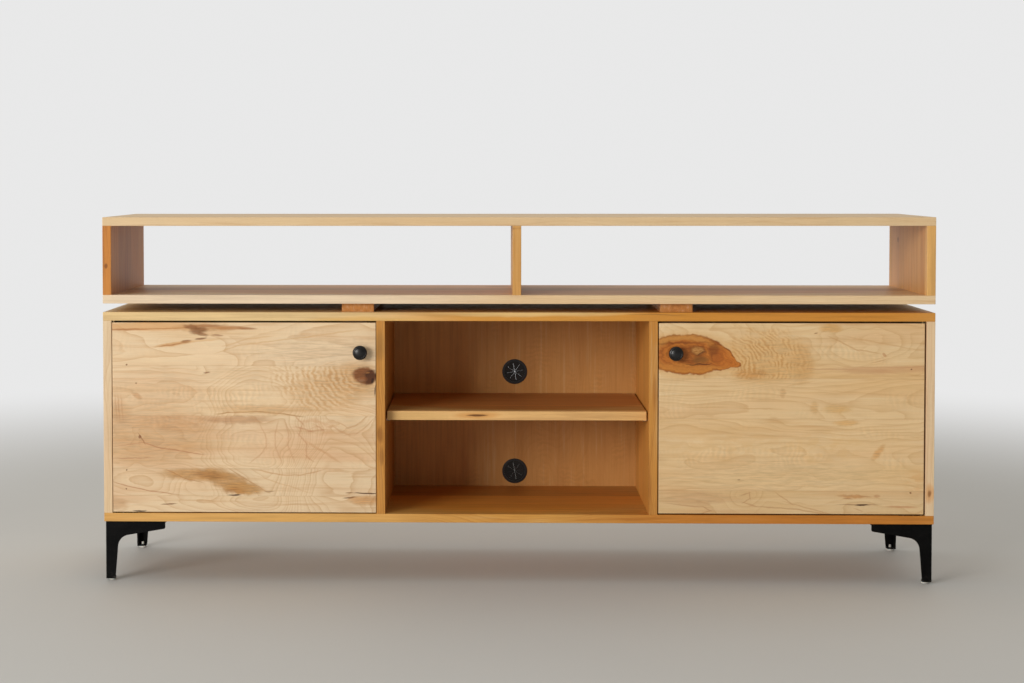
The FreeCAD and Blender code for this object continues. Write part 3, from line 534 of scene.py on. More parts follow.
# Features of the right door, in millimetres from its top left corner
RIGHT_SEAMS = (122.2, 210.3, 369.0)
RIGHT_ITEMS = [
    ('z', 238.7, 79.8, 79.2, 48.4, 0, 0.6, (222, 176, 116), 0.55),
    ('k', 199.5, 111.5, 28.6, 9.2, 0, 0.6, (212, 152, 86), 0.6),
    ('z', 315, 84.2, 15.4, 33, 0, 0.8, (216, 166, 106), 0.4),
    ('k', 376.1, 10.9, 19.8, 7.5, 0, 0.6, (226, 172, 98), 0.65),
    ('s', 343.8, 21.9, 3.7, 1.2, -14.1, 0.5, (150, 100, 58), 0.75),
    ('s', 404.4, 44.3, 31.6, 1.2, 25.7, 0.7, (200, 150, 100), 0.5),
    ('s', 452.4, 60.7, 24.3, 1.2, 10, 0.7, (200, 150, 100), 0.5),
    ('s', 480.7, 82.6, 17.4, 1.1, 166.3, 0.7, (200, 150, 104), 0.5),
    ('s', 492.7, 68.9, 2.9, 4.8, -40, 0.4, (196, 138, 94), 0.6),
    ('s', 488.3, 43.7, 70.1, 1.2, 10.6, 0.7, (206, 158, 108), 0.4),
    ('s', 376.1, 100.3, 49.3, 1.4, 0, 0.7, (200, 150, 112), 0.55),
    ('s', 452.4, 103.8, 47, 6.6, 1.1, 0.5, (206, 160, 120), 0.62),
    ('s', 537.4, 101.2, 63.2, 6.6, -1.7, 0.5, (208, 162, 122), 0.58),
    ('s', 496, 95.7, 93.2, 1.1, -0.4, 0.7, (196, 144, 104), 0.4),
    ('s', 551.1, 100.8, 1.8, 1.8, 0, 0.4, (110, 66, 36), 0.85),
    ('s', 224.5, 187.8, 32, 1.2, 0.9, 0.7, (200, 152, 100), 0.5),
    ('s', 103.6, 185.6, 37.8, 1.1, -0.7, 0.7, (206, 160, 108), 0.4),
    ('k', 391.3, 189.1, 24.2, 7.5, 0, 0.7, (224, 178, 112), 0.5),
    ('k', 341.2, 184.7, 7.5, 10.1, 0, 0.7, (222, 174, 116), 0.45),
    ('k', 271.4, 153.2, 4.4, 7.5, 0, 0.7, (218, 172, 124), 0.5),
    ('s', 68.7, 157.4, 70.2, 1.2, -2.9, 0.7, (212, 170, 120), 0.35),
    ('s', 310.7, 132.3, 26.6, 1.2, -10.3, 0.7, (208, 164, 112), 0.4),
    ('s', 430.6, 151.9, 102.7, 1.3, 3.9, 0.7, (212, 170, 120), 0.3),
    ('k', 410.9, 218.4, 22, 5.7, 0, 0.6, (226, 176, 108), 0.6),
    ('k', 480.7, 283.1, 15.4, 5.5, -52, 0.7, (222, 164, 98), 0.6),
    ('s', 175.3, 345, 3.1, 1.5, 0, 0.4, (150, 98, 56), 0.75),
    ('s', 550.9, 371.8, 1.8, 1.8, 0, 0.4, (120, 72, 38), 0.85),
    ('z', 264.9, 333.4, 198, 28.6, 0, 0.7, (238, 214, 176), 0.4),
    ('zm', 363, 270, 66, 28.6, 0, 0.7, (226, 186, 132), 0.35),
    ('zm', 134.1, 267.8, 118.8, 26.4, 0, 0.7, (226, 188, 138), 0.35),
    ('zm', 561.4, 350.9, 17.6, 22, 0, 0.7, (222, 172, 116), 0.45),
    ('s', 64.3, 402.2, 37.9, 1.1, 5.4, 0.7, (190, 138, 96), 0.5),
    ('s', 106.8, 409.3, 9.8, 1.1, 26.6, 0.7, (190, 138, 96), 0.5),
    ('s', 104.6, 416.4, 11.8, 1.1, 161.5, 0.7, (190, 138, 96), 0.5),
    ('s', 190.8, 376, 10.7, 1.1, -20.6, 0.7, (192, 140, 96), 0.48),
    ('s', 200.6, 379.3, 7.8, 1.1, 80.6, 0.7, (192, 140, 96), 0.48),
    ('s', 194, 390.2, 10.1, 1.1, 150.2, 0.7, (192, 140, 96), 0.48),
    ('s', 199.5, 398.9, 15.4, 1.1, 18.5, 0.7, (192, 140, 96), 0.48),
    ('s', 260.5, 406.6, 51.8, 1.1, 3.9, 0.7, (192, 140, 96), 0.48),
    ('s', 345.5, 416.4, 40.7, 1.1, 10, 0.7, (192, 140, 96), 0.48),
    ('s', 275.8, 385.8, 20.7, 1.1, 35.6, 0.7, (196, 144, 100), 0.45),
    ('s', 339, 409.9, 53.5, 1.1, 15.3, 0.7, (196, 144, 100), 0.45),
    ('k', 429.5, 381, 32, 3.1, 0.9, 0.5, (210, 150, 92), 0.65),
    ('s', 414.2, 385, 8.9, 1.1, 3.3, 0.6, (176, 112, 66), 0.6),
    ('s', 434.9, 398.9, 37.8, 1, 0, 0.6, (150, 100, 60), 0.6),
    ('s', 445.8, 398.9, 12.4, 1.5, 0, 0.5, (58, 28, 12), 0.92),
    ('s', 437.1, 410.3, 8.5, 1.1, -154.9, 0.7, (196, 146, 106), 0.45),
    ('s', 531.9, 403.5, 27.4, 1.9, 0.5, 0.6, (198, 134, 90), 0.6),
    ('s', 478.5, 380.1, 5.7, 2.6, 0, 0.6, (196, 138, 96), 0.5),
    ('z', 90.5, 385.8, 66, 8.8, 0, 0.7, (214, 168, 128), 0.4),
]
RIGHT_PULL = [
    (68.7, 68.9, 120.0, 62.0, 44.0),
    (439.3, 47.0, 70.0, 26.0, 22.0),
    (190.8, 385.8, 26.0, 20.0, 18.0),
]
KNOT = (68.7, 69.5)
FEATHER = (444.1, 127.7)


def arcs(centre, strip, zone, period, pale, dark, k, squash=1.0, wob=7.0, angle=0.0):
    """Curly grain in curved strokes about a point, seen only inside an ellipse and one strip of the board."""
    def run(t, Q, Qs, coords, col, val):
        n = t.noise(Q, (26.0, 15.0, 30.0), 2.0, 0.55)
        n2 = t.noise(Q, (9.0, 5.0, 12.0), 2.0, 0.6)
        n3 = t.noise(Qs, (26.0, 17.0, 20.0), 2.0, 0.6)
        d = t.reach(coords["s"], centre, (1.0, squash), angle)
        d = t.m("MULTIPLY_ADD", t.m("SUBTRACT", n, 0.5), wob * 3.0, d)
        s = t.m("SINE", t.m("MULTIPLY", d, 6.2832 / period))
        s2 = t.m("MULTIPLY_ADD", t.m("SUBTRACT", n2, 0.5), 1.6, s)
        z = t.blob(coords["z"], (zone[0], zone[1]), (zone[2], zone[3]), zone[4], 0.55)
        z = t.m("MULTIPLY", z, k)
        z = t.m("MULTIPLY", z, t.smooth(coords["v"], strip[0] - 0.8, strip[0] + 0.8))
        z = t.m("MULTIPLY", z, t.smooth(coords["v"], strip[1] + 0.8, strip[1] - 0.8))
        c = t.mix(t.smooth(s2, -0.9, 1.1), rgb(pale), rgb(dark))
        col = t.mix(t.m("MULTIPLY", z, t.smooth(n3, 0.34, 0.60), clamp=True), col, c)
        return col, val
    return run


def almond_knot(t, Q, Qs, coords, col, val):
    """The large knot at the free edge of the right door, with its eye and its bright tip."""
    P = coords["k"]
    kx, ky = KNOT
    a = t.reach(P, (kx - 8.0, ky - 0.5), (92.0, 44.0), 2.0)
    b = t.reach(P, (kx + 58.0, ky + 6.0), (40.0, 27.0), 16.0)
    tip = t.reach(P, (kx + 84.0, ky + 15.0), (27.0, 9.5), 16.0)
    d = t.m("SMOOTH_MIN", a, b, 0.16)
    d = t.m("SMOOTH_MIN", d, tip, 0.10)
    # stained wood close round it
    halo = t.smooth(d, 1.40, 0.98)
    col = t.mix(t.m("MULTIPLY", halo, 0.42), col, rgb((218, 168, 104)))
    n = t.noise(Q, (22.0, 9.0, 20.0), 3.0, 0.6)
    n2 = t.noise(Q, (8.0, 3.2, 9.0), 3.0, 0.65)
    dd = t.m("MULTIPLY_ADD", t.m("SUBTRACT", n, 0.5), 0.42, d)
    body = t.ramp(dd, [(0.0, rgb((168, 98, 42))), (0.18, rgb((186, 110, 46))), (0.34, rgb((156, 88, 34))),
                       (0.50, rgb((198, 122, 50))), (0.64, rgb((180, 104, 42))), (0.78, rgb((200, 130, 58))),
                       (0.90, rgb((196, 124, 54))), (1.0, rgb((160, 92, 38)))])
    lines = t.m("SINE", t.m("MULTIPLY_ADD", n2, 4.0, t.m("MULTIPLY", dd, 40.0)))
    body = t.mix(t.m("MULTIPLY", t.smooth(lines, 0.0, 1.0), 0.34), body, rgb((130, 70, 26)))
    # tan band in the upper left, inside the rim
    tan = t.m("MULTIPLY", t.smooth(d, 0.66, 0.82), t.blob(P, (kx - 36.0, ky - 34.0), (70.0, 17.0), -4.0, 0.6))
    body = t.mix(t.m("MULTIPLY", tan, 0.55), body, rgb((208, 154, 86)))
    under = t.blob(P, (kx - 24.0, ky - 26.0), (58.0, 2.0), -2.0, 0.7)
    body = t.mix(t.m("MULTIPLY", under, 0.5), body, rgb((122, 66, 26)))
    # brighter towards the tip, with a darker bar before it
    lobe = t.blob(P, (kx + 80.0, ky + 9.0), (24.0, 16.0), 20.0, 0.7)
    body = t.mix(t.m("MULTIPLY", lobe, 0.40), body, rgb((208, 122, 46)))
    lobe2 = t.blob(P, (kx + 64.0, ky - 2.0), (8.0, 20.0), 14.0, 0.7)
    body = t.mix(t.m("MULTIPLY", lobe2, 0.40), body, rgb((152, 80, 30)))
    # darker heart, the eye, and an olive patch with a dark line under it
    heart = t.blob(P, (kx + 50.0, ky - 12.0), (10.0, 11.0), 10.0, 0.6)
    body = t.mix(t.m("MULTIPLY", heart, 0.65), body, rgb((118, 62, 24)))
    rim = t.blob(P, (kx + 17.0, ky - 9.5), (17.0, 11.5), 4.0, 0.25)
    body = t.mix(t.m("MULTIPLY", rim, 0.75), body, rgb((112, 62, 24)))
    eye = t.blob(P, (kx + 16.5, ky - 9.5), (13.0, 8.0), 4.0, 0.35)
    body = t.mix(t.m("MULTIPLY", eye, 0.85), body, t.mix(t.smooth(n2, 0.35, 0.7), rgb((202, 150, 88)), rgb((168, 112, 56))))
    curl = t.blob(P, (kx + 24.0, ky - 3.5), (7.0, 1.6), -24.0, 0.5)
    body = t.mix(t.m("MULTIPLY", curl, 0.8), body, rgb((92, 48, 18)))
    olive = t.blob(P, (kx + 22.0, ky + 11.0), (17.0, 7.0), 2.0, 0.45)
    body = t.mix(t.m("MULTIPLY", olive, 0.75), body, rgb((128, 84, 38)))
    dark = t.blob(P, (kx + 16.0, ky + 20.5), (26.0, 1.7), -1.0, 0.5)
    body = t.mix(t.m("MULTIPLY", dark, 0.85), body, rgb((78, 38, 14)))
    low = t.blob(P, (kx - 8.0, ky + 31.0), (60.0, 9.0), 3.0, 0.6)
    body = t.mix(t.m("MULTIPLY", low, 0.5), body, rgb((210, 142, 66)))
    # thin bark-dark rim
    edge = t.m("MULTIPLY", t.smooth(d, 0.90, 0.985), t.smooth(n, 0.28, 0.60))
    right = t.smooth(P[0], kx + 20.0, kx + 70.0, 0.50, 1.0)
    body = t.mix(t.m("MULTIPLY", edge, t.m("MULTIPLY", right, 0.75)), body, rgb((118, 58, 20)))
    z = t.smooth(d, 1.05, 0.97)
    col = t.mix(z, col, body)
    return col, val


LEFT_MARKS = mark_maker(LEFT_ITEMS, [
    arcs((557.0, 108.0), LEFT_SEAMS[0:2], (FEATHER[0] + 6.0, FEATHER[1] + 6.0, 84.0, 50.0, 14.0), 12.0, (236, 212, 176), (202, 150, 92), 0.50, 0.85, 7.5, 8.0),
])
RIGHT_MARKS = mark_maker(RIGHT_ITEMS, [
    arcs((KNOT[0] + 66.0, KNOT[1] + 24.0), (-5.0, RIGHT_SEAMS[0]), (KNOT[0] + 158.0, KNOT[1] + 2.0, 76.0, 58.0, 0.0), 9.0, (232, 196, 144), (202, 146, 82), 0.60, 0.80, 6.5, 6.0),
    almond_knot,
])



# ---------------------------------------------------------------- board by board

def mm(node):
    lo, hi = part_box(node)
    return [a * 1000.0 for a in lo], [a * 1000.0 for a in hi]


FRONT = mm("cabinet_top")[0][1]          # the front face of the boards, about -190
DL_LO, DL_HI = mm("door_left")
DR_LO, DR_HI = mm("door_right")

m = wood("maple_door_left", "xzy", (DL_LO[0], DL_HI[2], DL_LO[1]), True, seams=LEFT_SEAMS, seed=11.0,
         base=(238, 213, 178), second=(226, 186, 132), third=(228, 188, 150), line=(196, 148, 96),
         tone=[1.0, 1.0, 0.975, 0.955, 0.96], gold=[0.30, 0.30, 0.40, 0.30, 0.30],
         pinkish=[0.30, 0.45, 0.75, 0.50, 0.55], wild=[10.0, 30.0, 52.0, 30.0, 16.0], pitch=7.0, ring=0.42,
         curl=[0.30, 0.55, 0.35, 0.40, 0.30], centre=[40.0, 150.0, 270.0, 350.0, 400.0],
         marks=LEFT_MARKS, ring_pull=LEFT_PULL, tint=(0.95, 0.92, 0.87))
paint(m, "door_left")

m = wood("maple_door_right", "xzy", (DR_LO[0], DR_HI[2], DR_LO[1]), True, seams=RIGHT_SEAMS, seed=23.0,
         base=(234, 206, 166), second=(224, 180, 118), third=(224, 182, 140), line=(194, 144, 88),
         tone=[0.98, 0.985, 0.985, 0.925], gold=[0.42, 0.35, 0.40, 0.45],
         pinkish=[0.35, 0.25, 0.30, 0.75], wild=[22.0, 14.0, 26.0, 18.0], pitch=7.5, ring=0.34,
         curl=[0.40, 0.35, 0.45, 0.25], centre=[60.0, 190.0, 300.0, 400.0],
         marks=RIGHT_MARKS, ring_pull=RIGHT_PULL, tint=(0.95, 0.90, 0.79))
paint(m, "door_right")

m = wood("maple_cabinet_top", "xyz", (0.0, FRONT, 597.0), seams=(92.0, 196.0, 301.0), tint=(0.885, 0.8, 0.56), seed=31.0,
         base=(232, 206, 166), second=(224, 180, 112), third=(226, 186, 144), line=(190, 138, 78),
         gold=[0.5, 0.3, 0.5, 0.3], ring=0.40, pitch=4.5, warp=20.0, streak=0.5,
         band=[(300.0, 10.0, -10.0, 640.0, 120.0, 60.0, (224, 162, 76), 0.92, 0.25),
               (640.0, 0.0, -10.0, 360.0, 60.0, 60.0, (214, 146, 62), 0.6, 0.5),
               (-640.0, 0.0, -10.0, 380.0, 70.0, 60.0, (246, 222, 190), 0.75, 0.5),
               (30.0, 0.0, -1.0, 160.0, 26.0, 5.0, (240, 214, 172), 0.75, 0.8),
               (-30.0, 0.0, -5.5, 70.0, 26.0, 3.0, (238, 206, 158), 0.6, 0.8),
               (306.0, 0.0, -4.0, 48.0, 26.0, 0.9, (136, 92, 50), 0.6, 0.7),
               (-330.0, 0.0, -18.0, 110.0, 40.0, 7.0, (232, 190, 124), 0.7, 0.5)],
         marks=mark_maker([("s", 305.0, 0.0, 46.0, 60.0, 0.0, 0.3, (206, 150, 84), 0.25)]))
paint(m, "cabinet_top")

m = wood("maple_cabinet_bottom", "xyz", (0.0, FRONT, 151.0), seams=(60.0, 132.0, 250.0, 330.0), tint=(0.85, 0.7, 0.42), seed=37.0,
         base=(228, 184, 118), second=(216, 160, 88), third=(218, 168, 112), line=(178, 118, 56),
         # The strip tones are partly the strips' own tones and partly painted shade: the last two strips, at the back
         # of the open bay, are darker.
         tone=[1.0, 0.94, 1.0, 0.74, 0.80], gold=[0.7, 0.7, 0.4, 0.8, 0.6], ring=0.45, pitch=4.8, warp=20.0, streak=0.6,
         band=[(-620.0, 0.0, -8.0, 330.0, 60.0, 60.0, (242, 206, 152), 0.7, 0.5),
               (620.0, 0.0, -8.0, 380.0, 60.0, 60.0, (206, 136, 60), 0.75, 0.5),
               # This band is painted shade: a deeper orange cast over most of the open bay's floor behind its front
               # strip.
               (0.0, 215.0, 0.0, 290.0, 190.0, 30.0, (246, 172, 78), 0.7, 0.2)])
paint(m, "cabinet_bottom")

m = wood("maple_riser_top", "xyz", (0.0, FRONT, 806.5), seams=(74.0, 150.0, 236.0, 330.0), tint=(0.85, 0.765, 0.64), seed=41.0,
         base=(240, 218, 184), second=(232, 200, 154), third=(230, 198, 166), line=(202, 160, 110),
         tone=[1.0, 0.95, 1.02, 0.93, 0.99], gold=[0.35, 0.4, 0.2, 0.4, 0.2], pinkish=[0.2, 0.6, 0.2, 0.7, 0.3],
         ring=0.26, pitch=4.2, warp=12.0, streak=0.3,
         marks=mark_maker([("k", 131.0, 388.0, 26.0, 9.0, 0.0, 0.4, (150, 116, 84), 0.6),
                           ("s", -360.0, 300.0, 60.0, 3.5, 0.0, 0.5, (178, 132, 92), 0.6),
                           ("s", 520.0, 112.0, 45.0, 3.5, 0.0, 0.5, (184, 138, 96), 0.5)]))
paint(m, "riser_top")

m = wood("maple_riser_bottom", "xyz", (0.0, FRONT, 635.0), seams=(96.0, 190.0, 286.0), tint=(0.93, 0.885, 0.79), seed=43.0,
         base=(238, 212, 176), second=(230, 194, 142), third=(226, 184, 150), line=(198, 150, 100),
         # The strip tones are the strips' own, but the dark 0.72 strip is also painted shade under the riser top.
         tone=[1.0, 0.92, 0.72, 0.92], gold=[0.3, 0.4, 0.7, 0.2], pinkish=[0.3, 0.9, 0.8, 0.4],
         ring=0.28, pitch=4.4, warp=13.0, streak=0.35,
         band=[(-600.0, 0.0, -9.0, 440.0, 34.0, 30.0, (244, 226, 206), 0.75, 0.5),
               # This band is painted shade: a darker orange cast over the riser floor behind its front edge, under the
               # riser top.
               (0.0, 225.0, 0.0, 860.0, 200.0, 40.0, (218, 152, 98), 0.50, 0.1)],
         marks=mark_maker([("s", -300.0, 62.0, 45.0, 7.0, 0.0, 0.5, (168, 118, 78), 0.75),
                           ("s", -40.0, 352.0, 26.0, 8.0, 0.0, 0.5, (130, 84, 52), 0.75),
                           ("s", 220.0, 368.0, 18.0, 8.0, 0.0, 0.5, (96, 64, 40), 0.8)]))
paint(m, "riser_bottom")

for node, seed, tones, kw in (
        ("side_left", 51.0, [1.0, 0.96, 1.0, 0.97], {}),
        ("side_right", 53.0, [1.0, 0.97, 0.98, 1.0],
         dict(band=[(199.0, 0.0, -9.0, 16.0, 12.0, 8.0, (226, 166, 104), 0.7, 0.7),
                    (199.0, 0.0, -9.0, 5.5, 6.0, 3.4, (156, 100, 54), 0.8, 0.6)],
              marks=mark_maker([("s", 318.0, 6.0, 60.0, 3.0, 0.0, 0.5, (196, 142, 92), 0.3)])))):
    m = wood("maple_" + node, "zyx", (0.0, FRONT, mm(node)[0 if node == "side_left" else 1][0]),
             seams=(101.0, 204.0, 305.0), seed=seed, tint=(0.90, 0.885, 0.86) if node == "side_left" else (0.94, 0.92, 0.88),
             base=(238, 212, 176), second=(228, 190, 136), third=(228, 190, 152), line=(198, 150, 98),
             tone=tones, gold=[0.3, 0.45, 0.3, 0.4], pinkish=[0.5, 0.3, 0.5, 0.3],
             wild=[8.0, 30.0, 14.0, 40.0], ring=0.32, pitch=5.5, warp=15.0, **kw)
    paint(m, node)

DIV_L = [(522.0, 0.0, 9.5, 26.0, 10.0, 8.0, (150, 120, 76), 0.45, 0.7),
         (327.0, 0.0, 8.0, 13.0, 10.0, 5.0, (150, 96, 44), 0.60, 0.7),
         (281.0, 0.0, 11.0, 17.0, 10.0, 4.0, (136, 86, 38), 0.50, 0.7)]
# The first DIV_R patch is a painted pool of light: a brighter warm colour over most of the right divider's face into
# the open bay.
DIV_R = [(365.0, 222.0, 0.0, 300.0, 200.0, 12.0, (250, 186, 104), 0.55, 0.2),
         (420.0, 0.0, 12.0, 30.0, 10.0, 3.0, (176, 116, 52), 0.50, 0.7)]
for node, seed, b, bd in (("divider_left", 61.0, (226, 172, 98), DIV_L), ("divider_right", 67.0, (224, 168, 92), DIV_R)):
    m = wood("maple_" + node, "zyx", (0.0, FRONT, mm(node)[0][0]), seams=(72.0, 170.0, 290.0), seed=seed, tint=(0.80, 0.68, 0.47),
             base=b, second=(206, 146, 74), third=(222, 176, 118), line=(168, 108, 50),
             tone=[1.0, 0.92, 1.0, 0.90], gold=[0.6, 0.5, 0.7, 0.5], ring=0.5, pitch=4.5, warp=12.0, streak=0.6, band=bd)
    paint(m, node)

for node, seed, b, s, tones in (
        ("riser_end_left", 71.0, (216, 150, 84), (200, 130, 66), [1.0, 0.88, 0.96, 0.92]),
        ("riser_end_right", 73.0, (226, 180, 120), (214, 156, 90), [1.0, 1.0, 0.95, 1.0])):
    kw = {}
    if node == "riser_end_right":
        kw = dict(band=[(700.0, 338.0, 0.0, 400.0, 48.0, 60.0, (226, 184, 156), 0.6, 0.1),
                        (707.0, 0.0, 9.5, 200.0, 20.0, 40.0, (252, 214, 158), 0.8, 0.3)],
                  marks=mark_maker([("s", 748.0, 307.0, 6.0, 5.0, 0.0, 0.4, (104, 66, 44), 0.9),
                                    ("s", 742.0, 307.0, 14.0, 2.4, 0.0, 0.5, (150, 100, 68), 0.6)]))
    else:
        kw = dict(band=[(697.0, 0.0, 7.0, 4.5, 8.0, 3.0, (124, 66, 28), 0.75, 0.6)])
    m = wood("maple_" + node, "zyx", (0.0, FRONT, mm(node)[0][0]), seams=(88.0, 238.0, 330.0), seed=seed, tint=(0.88, 0.76, 0.44) if node == "riser_end_left" else (0.82, 0.68, 0.44),
             base=b, second=s, third=(214, 164, 116), line=(170, 108, 56),
             tone=tones, gold=[0.5, 0.6, 0.5, 0.5], ring=0.45, pitch=4.5, warp=12.0, streak=0.6, **kw)
    paint(m, node)

m = wood("maple_riser_divider", "zyx", (0.0, FRONT, mm("riser_divider")[0][0]), seams=(96.0, 210.0, 300.0), tint=(0.86, 0.79, 0.63), seed=79.0,
         base=(228, 178, 112), second=(214, 156, 86), third=(224, 184, 132), line=(182, 122, 62),
         gold=[0.6, 0.5, 0.4, 0.5], ring=0.45, pitch=4.5, warp=10.0, streak=0.5,
         marks=mark_maker([("s", 782.0, 3.0, 4.0, 3.0, 0.0, 0.4, (128, 74, 34), 0.7)]))
paint(m, "riser_divider")

SH_LO, SH_HI = mm("shelf")
m = wood("maple_shelf", "xyz", (0.0, SH_LO[1], SH_HI[2]), seams=(26.0, 104.0, 113.0, 250.0), tint=(0.86, 0.7, 0.44), seed=83.0,
         base=(236, 206, 162), second=(222, 176, 110), third=(224, 182, 136), line=(176, 118, 62),
         # The strip tones are partly the glued strips' own tones and partly painted shade: darker behind the front
         # strip, where the shelf lies deep in the bay.
         tone=[1.04, 0.80, 1.08, 0.86, 0.80], gold=[0.3, 0.8, 0.2, 0.8, 0.8], ring=0.35, pitch=4.5, warp=16.0, streak=0.5,
         # The first band is painted shade: a darker orange cast over the shelf behind its front strip.
         band=[(0.0, 232.0, 0.0, 330.0, 200.0, 60.0, (214, 128, 48), 0.6, 0.1),
               (-60.0, 0.0, -9.5, 300.0, 14.0, 30.0, (246, 216, 178), 0.6, 0.5),
               (-250.0, 0.0, -12.0, 90.0, 20.0, 8.0, (222, 196, 152), 0.5, 0.5),
               (-86.8, 0.0, -8.5, 40.0, 18.0, 6.0, (214, 160, 96), 0.6, 0.6),
               (-86.8, 0.0, -8.5, 20.0, 12.0, 2.2, (104, 66, 34), 0.9, 0.5)])
paint(m, "shelf")

for node, seed in (("runner_left", 91.0), ("runner_right", 97.0)):
    m = wood("maple_" + node, "yxz", (0.0, mm(node)[0][0] + 35.0, 616.0), seed=seed,
             base=(204, 136, 66), second=(190, 116, 50), third=(206, 146, 84), line=(140, 80, 32),
             gold=[0.6], ring=0.6, pitch=3.6, warp=6.0, streak=0.5, depth=16.0)
    paint(m, node)

# veneered back: grain upright, leaves side by side
m = wood("maple_back_panel", "zxy", (0.0, 0.0, mm("back_panel")[0][1]), seams=(-610.0, -305.0, 0.0, 305.0, 610.0), tint=(0.74, 0.585, 0.375), seed=101.0,
         base=(222, 178, 124), second=(208, 156, 96), third=(216, 170, 122), line=(184, 132, 78),
         tone=[1.0, 0.985, 1.0, 0.96, 1.0, 0.985], gold=[0.4] * 6, ring=0.22, pitch=9.0, warp=34.0, depth=260.0,
         # The band is a painted pool of light: it lightens the left part of the back panel inside the open bay.
         band=[(365.0, -190.0, -6.0, 260.0, 130.0, 10.0, (252, 202, 136), 0.80, 0.35)],
         streak=0.3, curl=[0.5] * 6)
paint(m, "back_panel")

m = wood("beech_dowel", "xyz", (0.0, 0.0, 0.0), seed=103.0, base=(218, 176, 128), second=(206, 160, 108), ring=0.3, pitch=2.5)
paint(m, "carcass_dowels", "riser_dowels")


# ---------------------------------------------------------------- metal, plastic and rubber

def millimetres(t):
    return t.vm("SCALE", t.position(), s=1000.0)


def powder_steel():
    t = Tree("powder_coated_steel")
    Q = millimetres(t)
    peel = t.noise(Q, 0.9, 2.0, 0.5)
    fine = t.noise(Q, 0.28, 2.0, 0.6)
    cloud = t.noise(Q, (34.0, 34.0, 22.0), 3.0, 0.55)
    col = t.mix(t.smooth(cloud, 0.35, 0.7), (0.0024, 0.0023, 0.0024, 1), (0.0044, 0.0042, 0.0042, 1))
    dust = t.m("MULTIPLY", t.smooth(t.sep(Q)[2], 26.0, 0.0), t.smooth(t.noise(Q, (7.0, 7.0, 3.0), 3.0), 0.45, 0.75))
    col = t.mix(t.m("MULTIPLY", dust, 0.5), col, (0.075, 0.066, 0.056, 1))
    speck = t.smooth(t.noise(Q, 1.6, 0.0), 0.73, 0.80)
    col = t.mix(t.m("MULTIPLY", speck, 0.5), col, (0.035, 0.034, 0.034, 1))
    ro = t.m("MULTIPLY_ADD", cloud, 0.14, 0.42)
    h = t.m("MULTIPLY_ADD", fine, 0.3, peel)
    return t.finish(col, ro, h, spec=0.06, bump_mm=0.05, strength=0.5)


paint(powder_steel(), "leg_front_left", "leg_front_right", "leg_rear_left", "leg_rear_right")


def knob_black(node):
    lo, hi = mm(node)
    cx, cz = (lo[0] + hi[0]) / 2, (lo[2] + hi[2]) / 2
    t = Tree("satin_black_" + node)
    Q = millimetres(t)
    x, y, z = t.sep(Q)
    rr = t.vm("LENGTH", t.xyz(t.m("SUBTRACT", x, cx), t.m("SUBTRACT", z, cz), 0.0))
    turn = t.m("SINE", t.m("MULTIPLY", rr, 14.0))
    grain = t.noise(Q, (3.0, 0.8, 0.5), 3.0, 0.6)
    cloud = t.noise(Q, 7.0, 3.0, 0.6)
    col = t.mix(t.smooth(cloud, 0.35, 0.7), (0.0052, 0.0049, 0.0050, 1), (0.0098, 0.0090, 0.0088, 1))
    wear = t.m("MULTIPLY", t.smooth(t.m("ABSOLUTE", t.m("SUBTRACT", rr, 15.2)), 0.9, 0.0), t.smooth(grain, 0.5, 0.75))
    col = t.mix(t.m("MULTIPLY", wear, 0.5), col, (0.05, 0.042, 0.036, 1))
    h = t.m("MULTIPLY_ADD", turn, 0.22, grain)
    ro = t.m("MULTIPLY_ADD", grain, 0.12, 0.27)
    return t.finish(col, ro, h, spec=0.42, bump_mm=0.035, strength=0.5)


paint(knob_black("knob_left"), "knob_left")
paint(knob_black("knob_right"), "knob_right")


def moulded(name, c1, c2, rough, size=0.7, spec=0.45, sss=0.0):
    t = Tree(name)
    Q = millimetres(t)
    tex = t.noise(Q, size, 3.0, 0.6)
    cell = t.new("ShaderNodeTexVoronoi")
    t.put(cell.inputs["Vector"], t.vm("SCALE", Q, s=1.0 / (size * 0.8)))
    cloud = t.noise(Q, 16.0, 3.0, 0.6)
    col = t.mix(t.smooth(cloud, 0.3, 0.7), c1, c2)
    scuff = t.smooth(t.noise(Q, (9.0, 0.5, 2.0), 2.0), 0.70, 0.80)
    col = t.mix(t.m("MULTIPLY", scuff, 0.18), col, tuple(min(1.0, k * 2.2 + 0.01) for k in c2[:3]) + (1.0,))
    ro = t.m("MULTIPLY_ADD", t.m("SUBTRACT", tex, 0.5), 0.2, rough)
    h = t.m("MULTIPLY_ADD", cell.outputs["Distance"], 0.5, tex)
    return t.finish(col, ro, h, spec=spec, bump_mm=0.04, strength=0.5, sss=sss)


paint(moulded("moulded_black", (0.0078, 0.0076, 0.0078, 1), (0.0125, 0.0120, 0.0118, 1), 0.42), "grommet_ring_upper", "grommet_ring_lower")
RUBBER = moulded("soft_rubber", (0.0095, 0.0088, 0.0086, 1), (0.0155, 0.0143, 0.0135, 1), 0.62, 0.5, 0.3)
paint(RUBBER, "grommet_insert_upper", "grommet_insert_lower")


